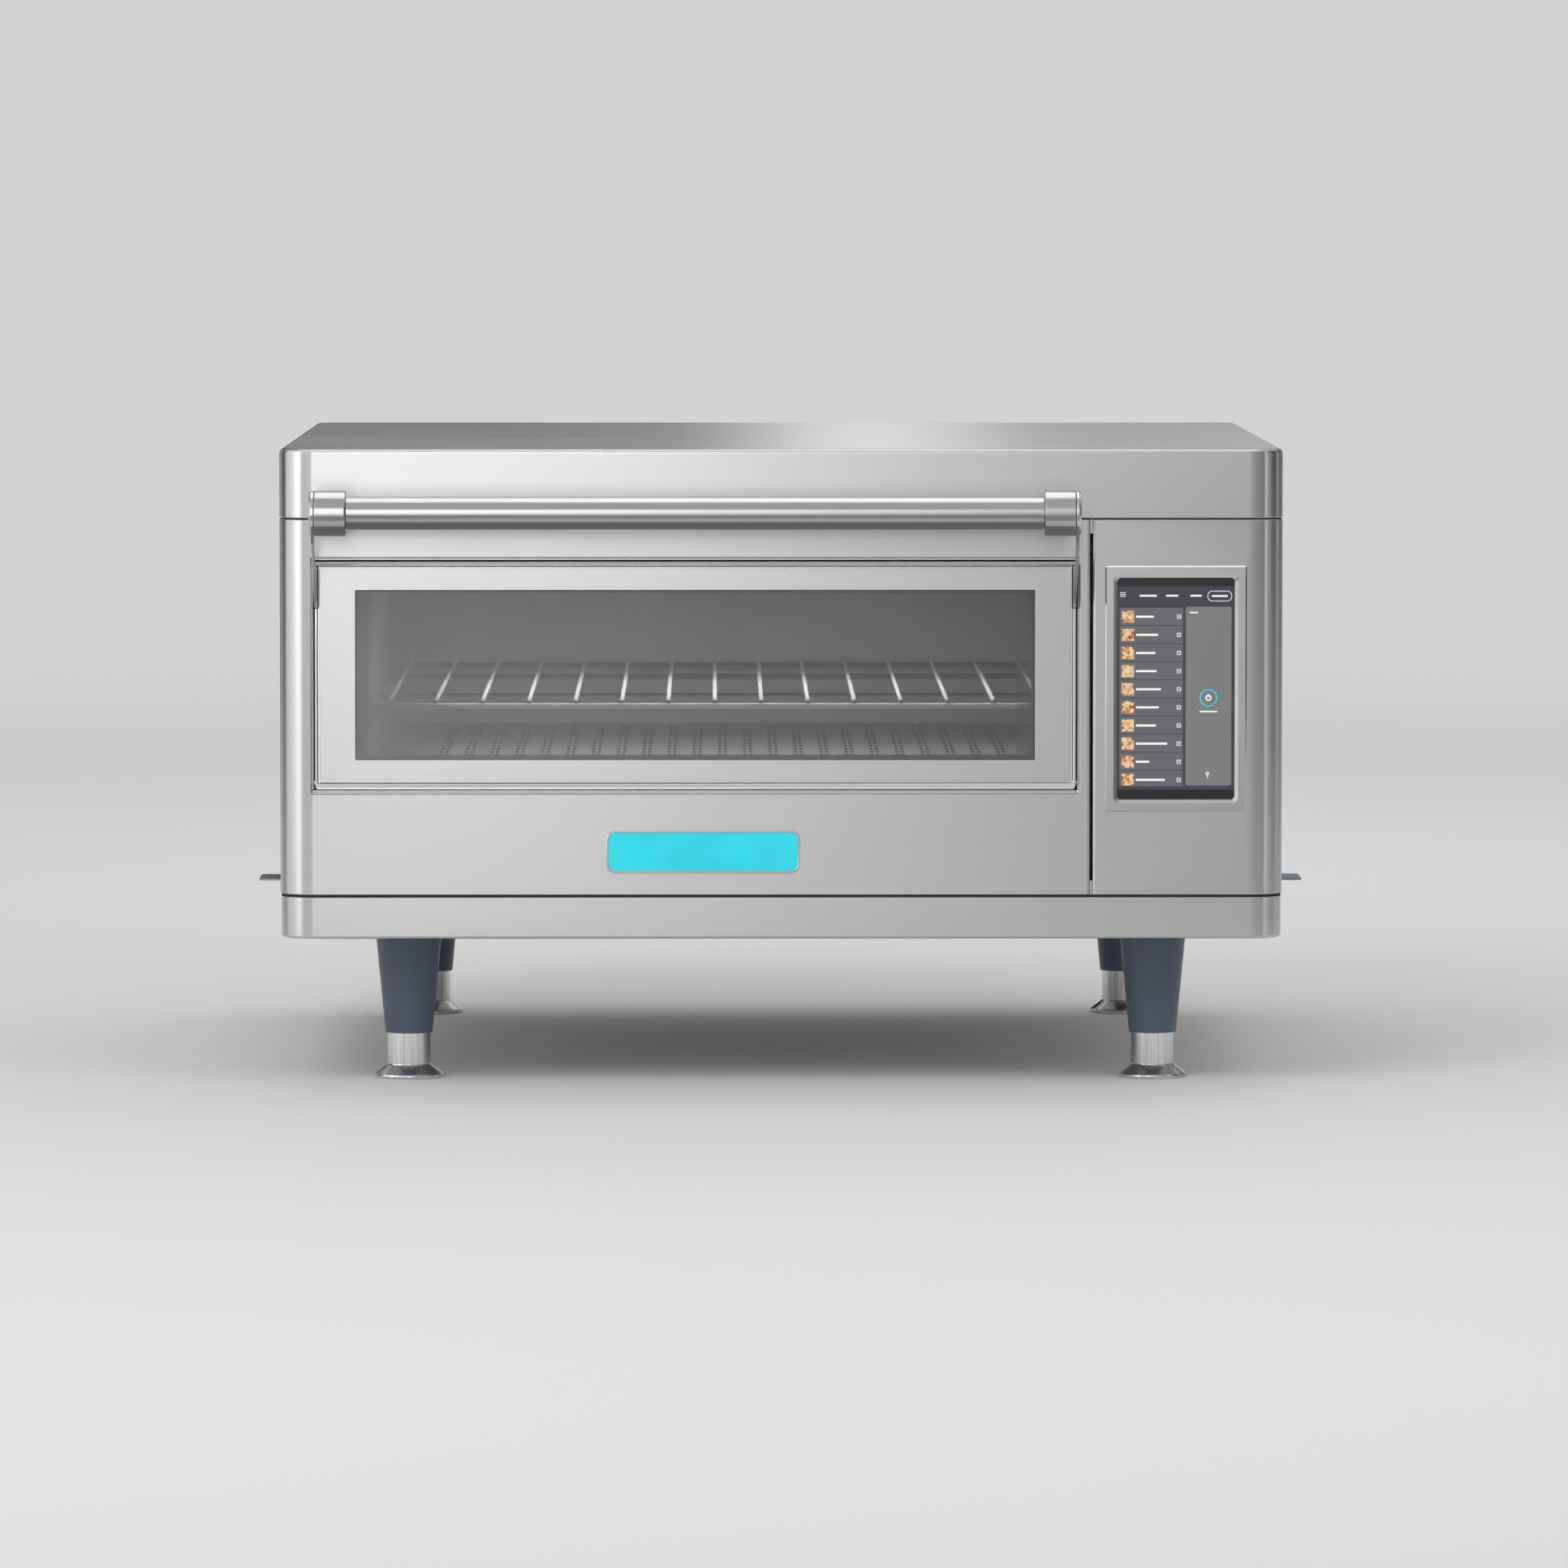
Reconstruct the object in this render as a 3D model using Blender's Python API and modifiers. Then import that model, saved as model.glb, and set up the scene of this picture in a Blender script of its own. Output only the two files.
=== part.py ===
# A countertop speed oven: a stainless box on four screw feet, with a drop-down glass door,
# a touch display in the right-hand column and a jet-plate cavity that holds a wire rack.
# Metres, +Z up. In every function x runs to the right, depth runs back from the front
# face, and z runs up from the floor. The origin is under the middle of the whole oven.

import math

import bmesh
import bpy
from mathutils import Matrix, Vector

# Driving dimensions
BODY_WIDTH = 0.704
BODY_DEPTH = 0.711
TOP_HEIGHT = 0.447
LEG_HEIGHT = 0.1037
COLUMN_WIDTH = 0.135
HANDLE_STANDOFF = 0.062
HANDLE_RADIUS = 0.0115
HANDLE_CAP_RADIUS = 0.01585
GLAND_REACH = 0.018

# Sheet metal and fits
SHEET = 0.0015
CLEARANCE = 0.0003
RUNNING_GAP = 0.00065
OVERRUN = 0.002
CORNER_RADIUS = 0.024
REAR_CORNER_RADIUS = 0.005
TOP_EDGE_RADIUS = 0.003
BEND_RADIUS = 0.0022
FLANGE = 0.014
OVERLAP = 0.010

# Seams of the casing
HOOD_SKIRT = 0.0483
HOOD_SEAM = 0.001
BASE_WALL = 0.0293
BASE_SEAM = 0.0016
COLUMN_SEAM = 0.0014
WRAP_DEPTH = 0.040
WRAP_SEAM = 0.0012
REAR_FLANGE = 0.020
REAR_PANEL_INSET = 0.004
REAR_PANEL_RISE = 0.006
REAR_PANEL_DROP = 0.004

# Door opening and door
OPENING_LEFT = 0.02265
OPENING_RIGHT = 0.00825
SILL = 0.0709
HEADER = 0.0266
SURROUND_WALL = 0.0016
SURROUND_BEVEL_DEPTH = 0.0024
DOOR_BOTTOM_RADIUS = 0.0045
PIN_SETBACK = 0.0008
PIN_RADIUS = 0.002
DOOR_FRAME_DEPTH = 0.010
DOOR_DEPTH = 0.027
LINER_INSET = 0.002
FACE_SIDE = 0.0033
FACE_TOP = 0.0050
FACE_BOTTOM = 0.0064
WINDOW_SIDE = 0.02905
WINDOW_TOP = 0.0206
WINDOW_BOTTOM = 0.0217
GLASS = 0.004
INNER_GLASS = 0.0035

# Cavity
FRONT_FRAME_DEPTH = 0.030
CAVITY_LEFT = 0.0613
CAVITY_RIGHT = 0.0197
MOUTH_LIP = 0.0135
MOUTH_HEADER = 0.0161
PLENUM = 0.0248
JET_SHEET = 0.0012
REAR_SPACE = 0.0478
INSULATION = 0.025
HEATER_FRONT_GAP = 0.1182
HEATER_REAR_GAP = 0.1502

# Rack
RACK_RODS = 15
RACK_ROD_RADIUS = 0.0015
RACK_CROSS_RADIUS = 0.002
RACK_HEIGHT = 0.0485
RACK_SIDE_GAP = 0.0027
RACK_END_MARGIN = 0.0116
RACK_FRONT_GAP = 0.018
RACK_REAR_GAP = 0.010

# Blower behind the cavity's right wall
BLOWER_SETBACK = 0.020
DRUM_RADIUS = 0.085
DRUM_WIDTH = 0.0447
PORT_WIDTH = 0.100
PORT_MARGIN = 0.002
WHEEL_RADIUS = 0.065
SHAFT_RADIUS = 0.005
MOTOR_RADIUS = 0.042
MOTOR_LENGTH = 0.060
INTAKE_SHARE = 0.70225

# Legs and feet
LEG_INSET_X = 0.0885
LEG_INSET_DEPTH = 0.0775
FOOT_POST_RADIUS = 0.01535
FOOT_FLANGE_RADIUS = 0.0242
FOOT_SHOWN = 0.032

# Air filters
FILTER_DEPTH = 0.140
FILTER_WIDTH = 0.049
FILTER_END_GAP = 0.017
FILTER_THICKNESS = 0.005
TAB_REACH = 0.019
TAB_SHEET = 0.0013

# Roundness of what is drawn with straight facets
CORNER_STEPS = 6
BEND_STEPS = 2
ROUND_SIDES = 24
FINE_SIDES = 10

# Places that follow from the driving dimensions
LEFT = -BODY_WIDTH / 2
RIGHT = BODY_WIDTH / 2
HANDLE_REACH = HANDLE_STANDOFF + HANDLE_CAP_RADIUS
FRONT_Y = HANDLE_REACH - (HANDLE_REACH + BODY_DEPTH + GLAND_REACH) / 2
SHELL_DEPTH = BODY_DEPTH - SHEET - CLEARANCE
SEAM_X = RIGHT - COLUMN_WIDTH
PANEL_Z = (LEG_HEIGHT + BASE_WALL + BASE_SEAM, TOP_HEIGHT - HOOD_SKIRT - HOOD_SEAM)
OPENING_X = (LEFT + OPENING_LEFT, SEAM_X - OPENING_RIGHT)
OPENING_Z = (PANEL_Z[0] + SILL, PANEL_Z[1] - HEADER)
DOOR_MARGIN = CLEARANCE + SURROUND_WALL + RUNNING_GAP
DOOR_X = (OPENING_X[0] + DOOR_MARGIN, OPENING_X[1] - DOOR_MARGIN)
DOOR_Z = (OPENING_Z[0] + DOOR_MARGIN, OPENING_Z[1] - DOOR_MARGIN)
DOOR_MIDDLE_X = (DOOR_X[0] + DOOR_X[1]) / 2
HINGE_DEPTH = DOOR_BOTTOM_RADIUS + PIN_SETBACK
HINGE_Z = DOOR_Z[0] + HINGE_DEPTH
WINDOW_X = (DOOR_X[0] + WINDOW_SIDE, DOOR_X[1] - WINDOW_SIDE)
WINDOW_Z = (DOOR_Z[0] + WINDOW_BOTTOM, DOOR_Z[1] - WINDOW_TOP)
CAVITY_X = (LEFT + CAVITY_LEFT, SEAM_X - CAVITY_RIGHT)
MOUTH_Z = (OPENING_Z[0] + MOUTH_LIP, OPENING_Z[1] - MOUTH_HEADER)
CAVITY_Z = (MOUTH_Z[0] - JET_SHEET - PLENUM, MOUTH_Z[1] + JET_SHEET + PLENUM)
CAVITY_FRONT = FRONT_FRAME_DEPTH + SHEET + CLEARANCE
CAVITY_BACK = BODY_DEPTH - SHEET - REAR_SPACE - SHEET
HEATER_ENDS = (CAVITY_FRONT + HEATER_FRONT_GAP, CAVITY_BACK - HEATER_REAR_GAP)
BLOWER_DEPTH = (HEATER_ENDS[0] + HEATER_ENDS[1]) / 2 + BLOWER_SETBACK
PARTITION_X = (SEAM_X - SHEET, SEAM_X)
FILTER_LENGTH = COLUMN_WIDTH - FILTER_END_GAP
BASE_FLOOR = LEG_HEIGHT + SHEET
BLOWER_Z = (CAVITY_Z[0] + CAVITY_Z[1]) / 2
BLOWER_X = SEAM_X + CLEARANCE
PORT_DEPTHS = (BLOWER_DEPTH - PORT_WIDTH / 2, BLOWER_DEPTH + PORT_WIDTH / 2)
UPPER_PORT_Z = (MOUTH_Z[1] + JET_SHEET + PORT_MARGIN, CAVITY_Z[1] - PORT_MARGIN)
LOWER_PORT_Z = (CAVITY_Z[0] + PORT_MARGIN, MOUTH_Z[0] - JET_SHEET - PORT_MARGIN)
INTAKE_RADIUS = INTAKE_SHARE * (UPPER_PORT_Z[0] - LOWER_PORT_Z[1]) / 2
HANDLE_RISE = 0.0358
HANDLE_Z = DOOR_Z[1] + HANDLE_RISE

# Start from an empty scene, with one collection for the oven and one for its cutters
for leftover in list(bpy.data.objects):
    bpy.data.objects.remove(leftover, do_unlink=True)
oven = bpy.data.collections.new("speed_oven")
cutters = bpy.data.collections.new("cutters")
bpy.context.scene.collection.children.link(oven)
bpy.context.scene.collection.children.link(cutters)


# Finishes: sRGB hex colour, roughness, metallic
def finish(name, colour, roughness, metallic=0.0):
    material = bpy.data.materials.new(name)
    material.use_nodes = True
    shader = material.node_tree.nodes["Principled BSDF"]
    channels = [int(colour[i : i + 2], 16) / 255 for i in (1, 3, 5)]
    shader.inputs["Base Color"].default_value = (*(c**2.2 for c in channels), 1)
    shader.inputs["Roughness"].default_value = roughness
    shader.inputs["Metallic"].default_value = metallic
    return material


STAINLESS = finish("brushed_stainless", "#BFC0C1", 0.30, 1.0)
BRIGHT_STEEL = finish("bright_steel", "#D4D5D6", 0.18, 1.0)
CHROME_WIRE = finish("chromed_wire", "#CFCFCF", 0.15, 1.0)
GALVANISED = finish("galvanised_sheet", "#A9ADB0", 0.45, 1.0)
PAINTED_LEG = finish("painted_leg", "#3A4350", 0.45)
OVEN_GLASS = finish("oven_glass", "#5E6062", 0.05)
BLACK_GLASS = finish("display_glass", "#2B2C31", 0.08)
PLATE_BLUE = finish("cyan_plate", "#22E4F6", 0.35)
FIBRE = finish("insulation_fibre", "#D9D2BE", 0.95)
SEAL_ROPE = finish("seal_rope", "#3B3A38", 0.90)
DARK_PLASTIC = finish("dark_plastic", "#26282B", 0.55)
BOARD_GREEN = finish("circuit_board", "#1F5A3A", 0.50)
MOTOR_PAINT = finish("motor_paint", "#4A4E52", 0.50)
CERAMIC = finish("catalyst_ceramic", "#8C8577", 0.85)


# Solids
def at(x, depth, z):
    return Vector((x, FRONT_Y + depth, z))


def grown(span, amount):
    return (span[0] - amount, span[1] + amount)


def middle(span):
    return (span[0] + span[1]) / 2


def place(name, mesh, location, material):
    """A new object of the oven, or a cutter where there is no material."""
    piece = bpy.data.objects.new(name, mesh)
    piece.location = location
    if material:
        mesh.materials.append(material)
        oven.objects.link(piece)
    else:
        piece.hide_render = True
        piece.display_type = "WIRE"
        cutters.objects.link(piece)
    return piece


def block(name, xs, depths, zs, material=None):
    """A block between two planes in each direction."""
    low = at(xs[0], depths[0], zs[0])
    high = at(xs[1], depths[1], zs[1])
    shape = bmesh.new()
    bmesh.ops.create_cube(shape, size=1, matrix=Matrix.Diagonal((*(high - low), 1)))
    mesh = bpy.data.meshes.new(name)
    shape.to_mesh(mesh)
    shape.free()
    return place(name, mesh, (low + high) / 2, material)


def blocks(name, ranges):
    """One cutter made of several blocks that don't touch, each (xs, depths, zs)."""
    shape = bmesh.new()
    for xs, depths, zs in ranges:
        low = at(xs[0], depths[0], zs[0])
        high = at(xs[1], depths[1], zs[1])
        sized = Matrix.Translation((low + high) / 2) @ Matrix.Diagonal((*(high - low), 1))
        bmesh.ops.create_cube(shape, size=1, matrix=sized)
    mesh = bpy.data.meshes.new(name)
    shape.to_mesh(mesh)
    shape.free()
    return place(name, mesh, Vector(), None)


def rod(name, start, end, radius, material=None, sides=ROUND_SIDES):
    """A round bar from one point to another."""
    shape = bmesh.new()
    bmesh.ops.create_cone(
        shape,
        cap_ends=True,
        segments=sides,
        radius1=radius,
        radius2=radius,
        depth=(end - start).length,
    )
    mesh = bpy.data.meshes.new(name)
    shape.to_mesh(mesh)
    shape.free()
    mesh.shade_smooth()
    mesh.set_sharp_from_angle(angle=math.radians(40))
    piece = place(name, mesh, (start + end) / 2, material)
    piece.rotation_euler = (end - start).to_track_quat("Z", "Y").to_euler()
    return piece


def turned(name, profile, foot, direction, material=None, sides=ROUND_SIDES, ring=False):
    """A profile of (radius, height) turned round an axis: it runs down its outer side."""
    mesh = bpy.data.meshes.new(name)
    edges = [(i, i + 1) for i in range(len(profile) - 1)]
    if ring:
        edges.append((len(profile) - 1, 0))
    mesh.from_pydata([(radius, 0, height) for radius, height in profile], edges, [])
    piece = place(name, mesh, foot, material)
    piece.rotation_euler = Vector(direction).to_track_quat("Z", "Y").to_euler()
    screw = piece.modifiers.new("Turn", "SCREW")
    screw.steps = sides
    screw.render_steps = sides
    screw.use_merge_vertices = True
    screw.merge_threshold = 0.00001
    screw.use_smooth_shade = True
    return piece


def rounded(corners, radii, steps=BEND_STEPS, closed=True):
    """The corners of an outline, with an arc at each that has a radius."""
    points = []
    count = len(corners)
    for i, radius in enumerate(radii):
        corner = Vector(corners[i])
        if radius <= 0 or (not closed and i in (0, count - 1)):
            points.append(corner)
            continue
        before = (Vector(corners[i - 1]) - corner).normalized()
        after = (Vector(corners[(i + 1) % count]) - corner).normalized()
        half = before.angle(after) / 2
        centre = corner + (before + after).normalized() * radius / math.sin(half)
        arm = corner + before * radius / math.tan(half) - centre
        far = corner + after * radius / math.tan(half) - centre
        sweep = math.atan2(arm.x * far.y - arm.y * far.x, arm.dot(far))
        for step in range(steps + 1):
            points.append(centre + Matrix.Rotation(sweep * step / steps, 2) @ arm)
    return points


def rounded_plate(xs, ys, radius):
    """The outline of a rectangle with one radius at its four corners."""
    corners = [(xs[0], ys[0]), (xs[1], ys[0]), (xs[1], ys[1]), (xs[0], ys[1])]
    return rounded(corners, [radius] * len(corners))


def folded(path, radii, thickness=SHEET, steps=BEND_STEPS):
    """The section of a bent sheet. The path is its outer side, with the metal to its left."""
    path = [Vector(point) for point in path]
    runs = [(b - a).normalized() for a, b in zip(path, path[1:])]
    normals = [Vector((-run.y, run.x)) for run in runs]
    inner = [path[0] + normals[0] * thickness]
    inner_radii = [0]
    for i in range(1, len(path) - 1):
        lean = normals[i - 1] + normals[i]
        inner.append(path[i] + lean * thickness / (1 + normals[i - 1].dot(normals[i])))
        turns_left = runs[i - 1].x * runs[i].y - runs[i - 1].y * runs[i].x > 0
        inner_radii.append(radii[i] - thickness if turns_left else radii[i] + thickness)
    inner.append(path[-1] + normals[-1] * thickness)
    inner_radii.append(0)
    outside = rounded(path, radii, steps, closed=False)
    inside = rounded(inner, inner_radii, steps, closed=False)
    return outside + inside[::-1]


# How an outline's own x, y and thickness lie in the oven, for each plane it is drawn in
PLANES = {
    "x depth": Matrix.Identity(4),
    "x z": Matrix.Rotation(math.radians(90), 4, "X"),
    "depth z": Matrix(((0, 0, 1, 0), (1, 0, 0, 0), (0, 1, 0, 0), (0, 0, 0, 1))),
}


def prism(name, plane, outline, span, material=None):
    """A flat outline given thickness: a filled 2D curve with an extrude, made a mesh."""
    curve = bpy.data.curves.new(name, "CURVE")
    curve.dimensions = "2D"
    curve.fill_mode = "BOTH"
    curve.extrude = (span[1] - span[0]) / 2
    spline = curve.splines.new("POLY")
    spline.points.add(len(outline) - 1)
    spline.use_cyclic_u = True
    xs = [point[0] for point in outline]
    ys = [point[1] for point in outline]
    centre = Vector(((min(xs) + max(xs)) / 2, (min(ys) + max(ys)) / 2))
    for target, point in zip(spline.points, outline):
        target.co = (point[0] - centre.x, point[1] - centre.y, 0, 1)
    drawn = bpy.data.objects.new(name + "_outline", curve)
    cutters.objects.link(drawn)
    centres = {
        "x depth": (centre.x, centre.y, middle(span)),
        "x z": (centre.x, middle(span), centre.y),
        "depth z": (middle(span), centre.x, centre.y),
    }
    drawn.matrix_world = Matrix.Translation(at(*centres[plane])) @ PLANES[plane]
    return solid_of(name, drawn, material)


def tube(name, points, radius, material=None, resolution=2):
    """A wire or a tube along a list of points."""
    curve = bpy.data.curves.new(name, "CURVE")
    curve.dimensions = "3D"
    curve.bevel_depth = radius
    curve.bevel_resolution = resolution
    curve.use_fill_caps = True
    spline = curve.splines.new("POLY")
    spline.points.add(len(points) - 1)
    for target, point in zip(spline.points, points):
        target.co = (*(point - points[0]), 1)
    drawn = bpy.data.objects.new(name + "_line", curve)
    cutters.objects.link(drawn)
    drawn.location = points[0]
    return solid_of(name, drawn, material)


def solid_of(name, drawn, material):
    """The mesh of a curve object, with its caps joined on and its flat faces whole."""
    bpy.context.view_layer.update()
    graph = bpy.context.evaluated_depsgraph_get()
    mesh = bpy.data.meshes.new_from_object(drawn.evaluated_get(graph))
    mesh.name = name
    shape = bmesh.new()
    shape.from_mesh(mesh)
    bmesh.ops.remove_doubles(shape, verts=shape.verts, dist=0.000001)
    bmesh.ops.dissolve_limit(
        shape, angle_limit=math.radians(1), verts=shape.verts, edges=shape.edges
    )
    bmesh.ops.recalc_face_normals(shape, faces=shape.faces)
    shape.to_mesh(mesh)
    shape.free()
    piece = place(name, mesh, Vector(), material)
    piece.matrix_world = drawn.matrix_world.copy()
    bpy.data.objects.remove(drawn, do_unlink=True)
    return piece


def helper(piece):
    """Hides a piece that only shapes another."""
    if piece.name not in cutters.objects:
        cutters.objects.link(piece)
        oven.objects.unlink(piece)
    piece.hide_render = True
    piece.display_type = "WIRE"


def cut(piece, *tools):
    for tool in tools:
        helper(tool)
        modifier = piece.modifiers.new("Cut " + tool.name, "BOOLEAN")
        modifier.operation = "DIFFERENCE"
        modifier.object = tool
    return piece


def fuse(piece, *others):
    for other in others:
        helper(other)
        modifier = piece.modifiers.new("Join " + other.name, "BOOLEAN")
        modifier.operation = "UNION"
        modifier.object = other
    return piece


def soften(piece, width, segments, share_of):
    """Rounds the sharp edges to which share_of gives a share of the width."""
    bpy.context.view_layer.update()
    shape = bmesh.new()
    shape.from_mesh(piece.data)
    shares = {}
    for edge in shape.edges:
        if edge.calc_face_angle(0) > math.radians(30):
            ends = [piece.matrix_world @ vert.co for vert in edge.verts]
            shares[edge.index] = share_of(*ends)
    shape.free()
    weights = piece.data.attributes.new("bevel_weight_edge", "FLOAT", "EDGE")
    for index, share in shares.items():
        weights.data[index].value = share
    bevel = piece.modifiers.new("Soften", "BEVEL")
    bevel.limit_method = "WEIGHT"
    bevel.width = width
    bevel.segments = segments
    return piece


def carry(name, location, pieces):
    """Parents the pieces of a moving body, and what shapes them, to an empty on its axis."""
    empty = bpy.data.objects.new(name, None)
    empty.location = location
    oven.objects.link(empty)
    bpy.context.view_layer.update()
    for piece in pieces:
        tools = [modifier.object for modifier in piece.modifiers if modifier.type == "BOOLEAN"]
        for child in [piece, *tools]:
            child.parent = empty
            child.matrix_parent_inverse = empty.matrix_world.inverted()


# The casing
def plan_outline(inset):
    """The oven's outline from above, drawn in by an inset."""
    xs = (LEFT + inset, RIGHT - inset)
    depths = (inset, SHELL_DEPTH - inset)
    corners = [
        (xs[0], depths[0]), (xs[1], depths[0]), (xs[1], depths[1]), (xs[0], depths[1])
    ]
    front = CORNER_RADIUS - inset
    rear = max(REAR_CORNER_RADIUS - inset, CLEARANCE)
    return rounded(corners, [front, front, rear, rear], CORNER_STEPS)


LAP_INSET = SHEET + CLEARANCE
POCKET_INSET = LAP_INSET + SHEET


def top_cover():
    skirt = (TOP_HEIGHT - HOOD_SKIRT, TOP_HEIGHT)
    cover = prism("top_cover", "x depth", plan_outline(0), skirt, STAINLESS)
    soften(
        cover,
        TOP_EDGE_RADIUS,
        BEND_STEPS,
        lambda a, b: 1.0 if min(a.z, b.z) > middle(skirt) else 0.0,
    )
    lap = (skirt[0] - HOOD_SEAM - OVERLAP, middle(skirt))
    pocket = (lap[0] - OVERRUN, TOP_HEIGHT - SHEET)
    fuse(cover, prism("cover_lap", "x depth", plan_outline(LAP_INSET), lap))
    cut(cover, prism("cover_pocket", "x depth", plan_outline(POCKET_INSET), pocket))
    return cover


INTAKE_SLOTS = 5
INTAKE_SLOT = 0.004
BASE_EDGE_RADIUS = 0.002
BASE_INSET = 0.0007


def base_pan():
    wall = (LEG_HEIGHT, LEG_HEIGHT + BASE_WALL)
    pan = prism("base_pan", "x depth", plan_outline(BASE_INSET), wall, STAINLESS)
    soften(
        pan,
        BASE_EDGE_RADIUS,
        BEND_STEPS,
        lambda a, b: 1.0 if max(a.z, b.z) < middle(wall) else 0.0,
    )
    lap = (middle(wall), PANEL_Z[0] + OVERLAP)
    pocket = (BASE_FLOOR, lap[1] + OVERRUN)
    fuse(pan, prism("pan_lap", "x depth", plan_outline(LAP_INSET), lap))
    cut(pan, prism("pan_pocket", "x depth", plan_outline(POCKET_INSET), pocket))
    slots = []
    pitch = (FILTER_WIDTH - INTAKE_SLOT) / INTAKE_SLOTS
    for side in (-1, 1):
        far = side * (RIGHT - POCKET_INSET - FLANGE)
        near = side * (RIGHT - FILTER_LENGTH)
        for i in range(INTAKE_SLOTS):
            start = FILTER_DEPTH + (i - (INTAKE_SLOTS - 1) / 2) * pitch
            depths = (start - INTAKE_SLOT / 2, start + INTAKE_SLOT / 2)
            floor = (LEG_HEIGHT - OVERRUN, BASE_FLOOR + OVERRUN)
            slots.append((sorted((near, far)), depths, floor))
    cut(pan, blocks("intake_slots", slots))
    notch = []
    for side in (-1, 1):
        xs = sorted((side * (RIGHT + OVERRUN), side * (RIGHT - POCKET_INSET - OVERRUN)))
        notch.append((xs, grown(SLOT_DEPTHS, CLEARANCE), (FILTER_Z[0] - CLEARANCE, pocket[1])))
    cut(pan, blocks("filter_notches", notch))
    for i, (x, depth) in enumerate(leg_places()):
        hole = rod(f"stud_hole_{i}", at(x, depth, LEG_HEIGHT - OVERRUN),
                   at(x, depth, BASE_FLOOR + OVERRUN), LEG_STUD_RADIUS + CLEARANCE)
        cut(pan, hole)
    return pan


def relieved(panel):
    """Cuts a panel's flanges back where the base pan and the cover lap behind its skin."""
    low = (PANEL_Z[0] - OVERRUN, PANEL_Z[0] + OVERLAP + CLEARANCE)
    high = (PANEL_Z[1] - OVERLAP - CLEARANCE, PANEL_Z[1] + OVERRUN)
    inset = SHEET + CLEARANCE / 2
    for end, span in (("low", low), ("high", high)):
        name = f"relief_{end}_{panel.name}"
        cut(panel, prism(name, "x depth", plan_outline(inset), span))
    return panel


def front_panel():
    edge = SEAM_X - COLUMN_SEAM / 2
    path = [(LEFT + FLANGE, WRAP_DEPTH), (LEFT, WRAP_DEPTH), (LEFT, 0), (edge, 0), (edge, FLANGE)]
    section = folded(path, [0, BEND_RADIUS, CORNER_RADIUS, BEND_RADIUS, 0], steps=CORNER_STEPS)
    panel = prism("front_panel", "x depth", section, PANEL_Z, STAINLESS)
    cut(panel, block("door_opening", OPENING_X, (-OVERRUN, SHEET + OVERRUN), OPENING_Z))
    return relieved(panel)


def control_panel():
    edge = SEAM_X + COLUMN_SEAM / 2
    path = [
        (edge, FLANGE), (edge, 0), (RIGHT, 0), (RIGHT, WRAP_DEPTH), (RIGHT - FLANGE, WRAP_DEPTH)
    ]
    section = folded(path, [0, BEND_RADIUS, CORNER_RADIUS, BEND_RADIUS, 0], steps=CORNER_STEPS)
    panel = prism("control_panel", "x depth", section, PANEL_Z, STAINLESS)
    xs = grown(COLLAR_X, CLEARANCE)
    zs = grown(COLLAR_Z, CLEARANCE)
    cut(panel, block("display_opening", xs, (-OVERRUN, SHEET + OVERRUN), zs))
    return relieved(panel)


def side_panel(name, side):
    front = WRAP_DEPTH + WRAP_SEAM
    path = [
        (side * (RIGHT - REAR_FLANGE), SHELL_DEPTH),
        (side * RIGHT, SHELL_DEPTH),
        (side * RIGHT, front),
        (side * (RIGHT - FLANGE), front),
    ]
    radii = [0, REAR_CORNER_RADIUS, BEND_RADIUS, 0]
    if side > 0:
        path = path[::-1]
        radii = radii[::-1]
    panel = prism(name, "x depth", folded(path, radii), PANEL_Z, STAINLESS)
    xs = sorted((side * (RIGHT + OVERRUN), side * (RIGHT - FLANGE)))
    slot = (PANEL_Z[0] - OVERRUN, FILTER_Z[1] + RUNNING_GAP)
    cut(panel, block(name + "_slot", xs, SLOT_DEPTHS, slot))
    return relieved(panel)


VENT_ROWS = 3
VENTS_IN_ROW = 9
VENT_WIDTH = 0.006
VENT_PITCH = 0.016
VENT_ROW_GAP = 0.025
VENT_SILL = 0.0554
VENT_HEADER = 0.0077
VENT_FROM_SIDE = 0.102
GRILLE_BARS = 7
GRILLE_SLOT = 0.009
FAN_SIDE = 0.092
FAN_THICKNESS = 0.025
FAN_X = (SEAM_X + RIGHT - REAR_FLANGE) / 2
FAN_DROP = 0.0677
FAN_Z = PANEL_Z[1] - FAN_DROP
FAN_BORE = 0.043
GLAND_X = FAN_X
GLAND_RISE = 0.0314
GLAND_Z = PANEL_Z[0] + GLAND_RISE
GLAND_NECK = 0.012
GLAND_FLANGE = 0.016


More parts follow.
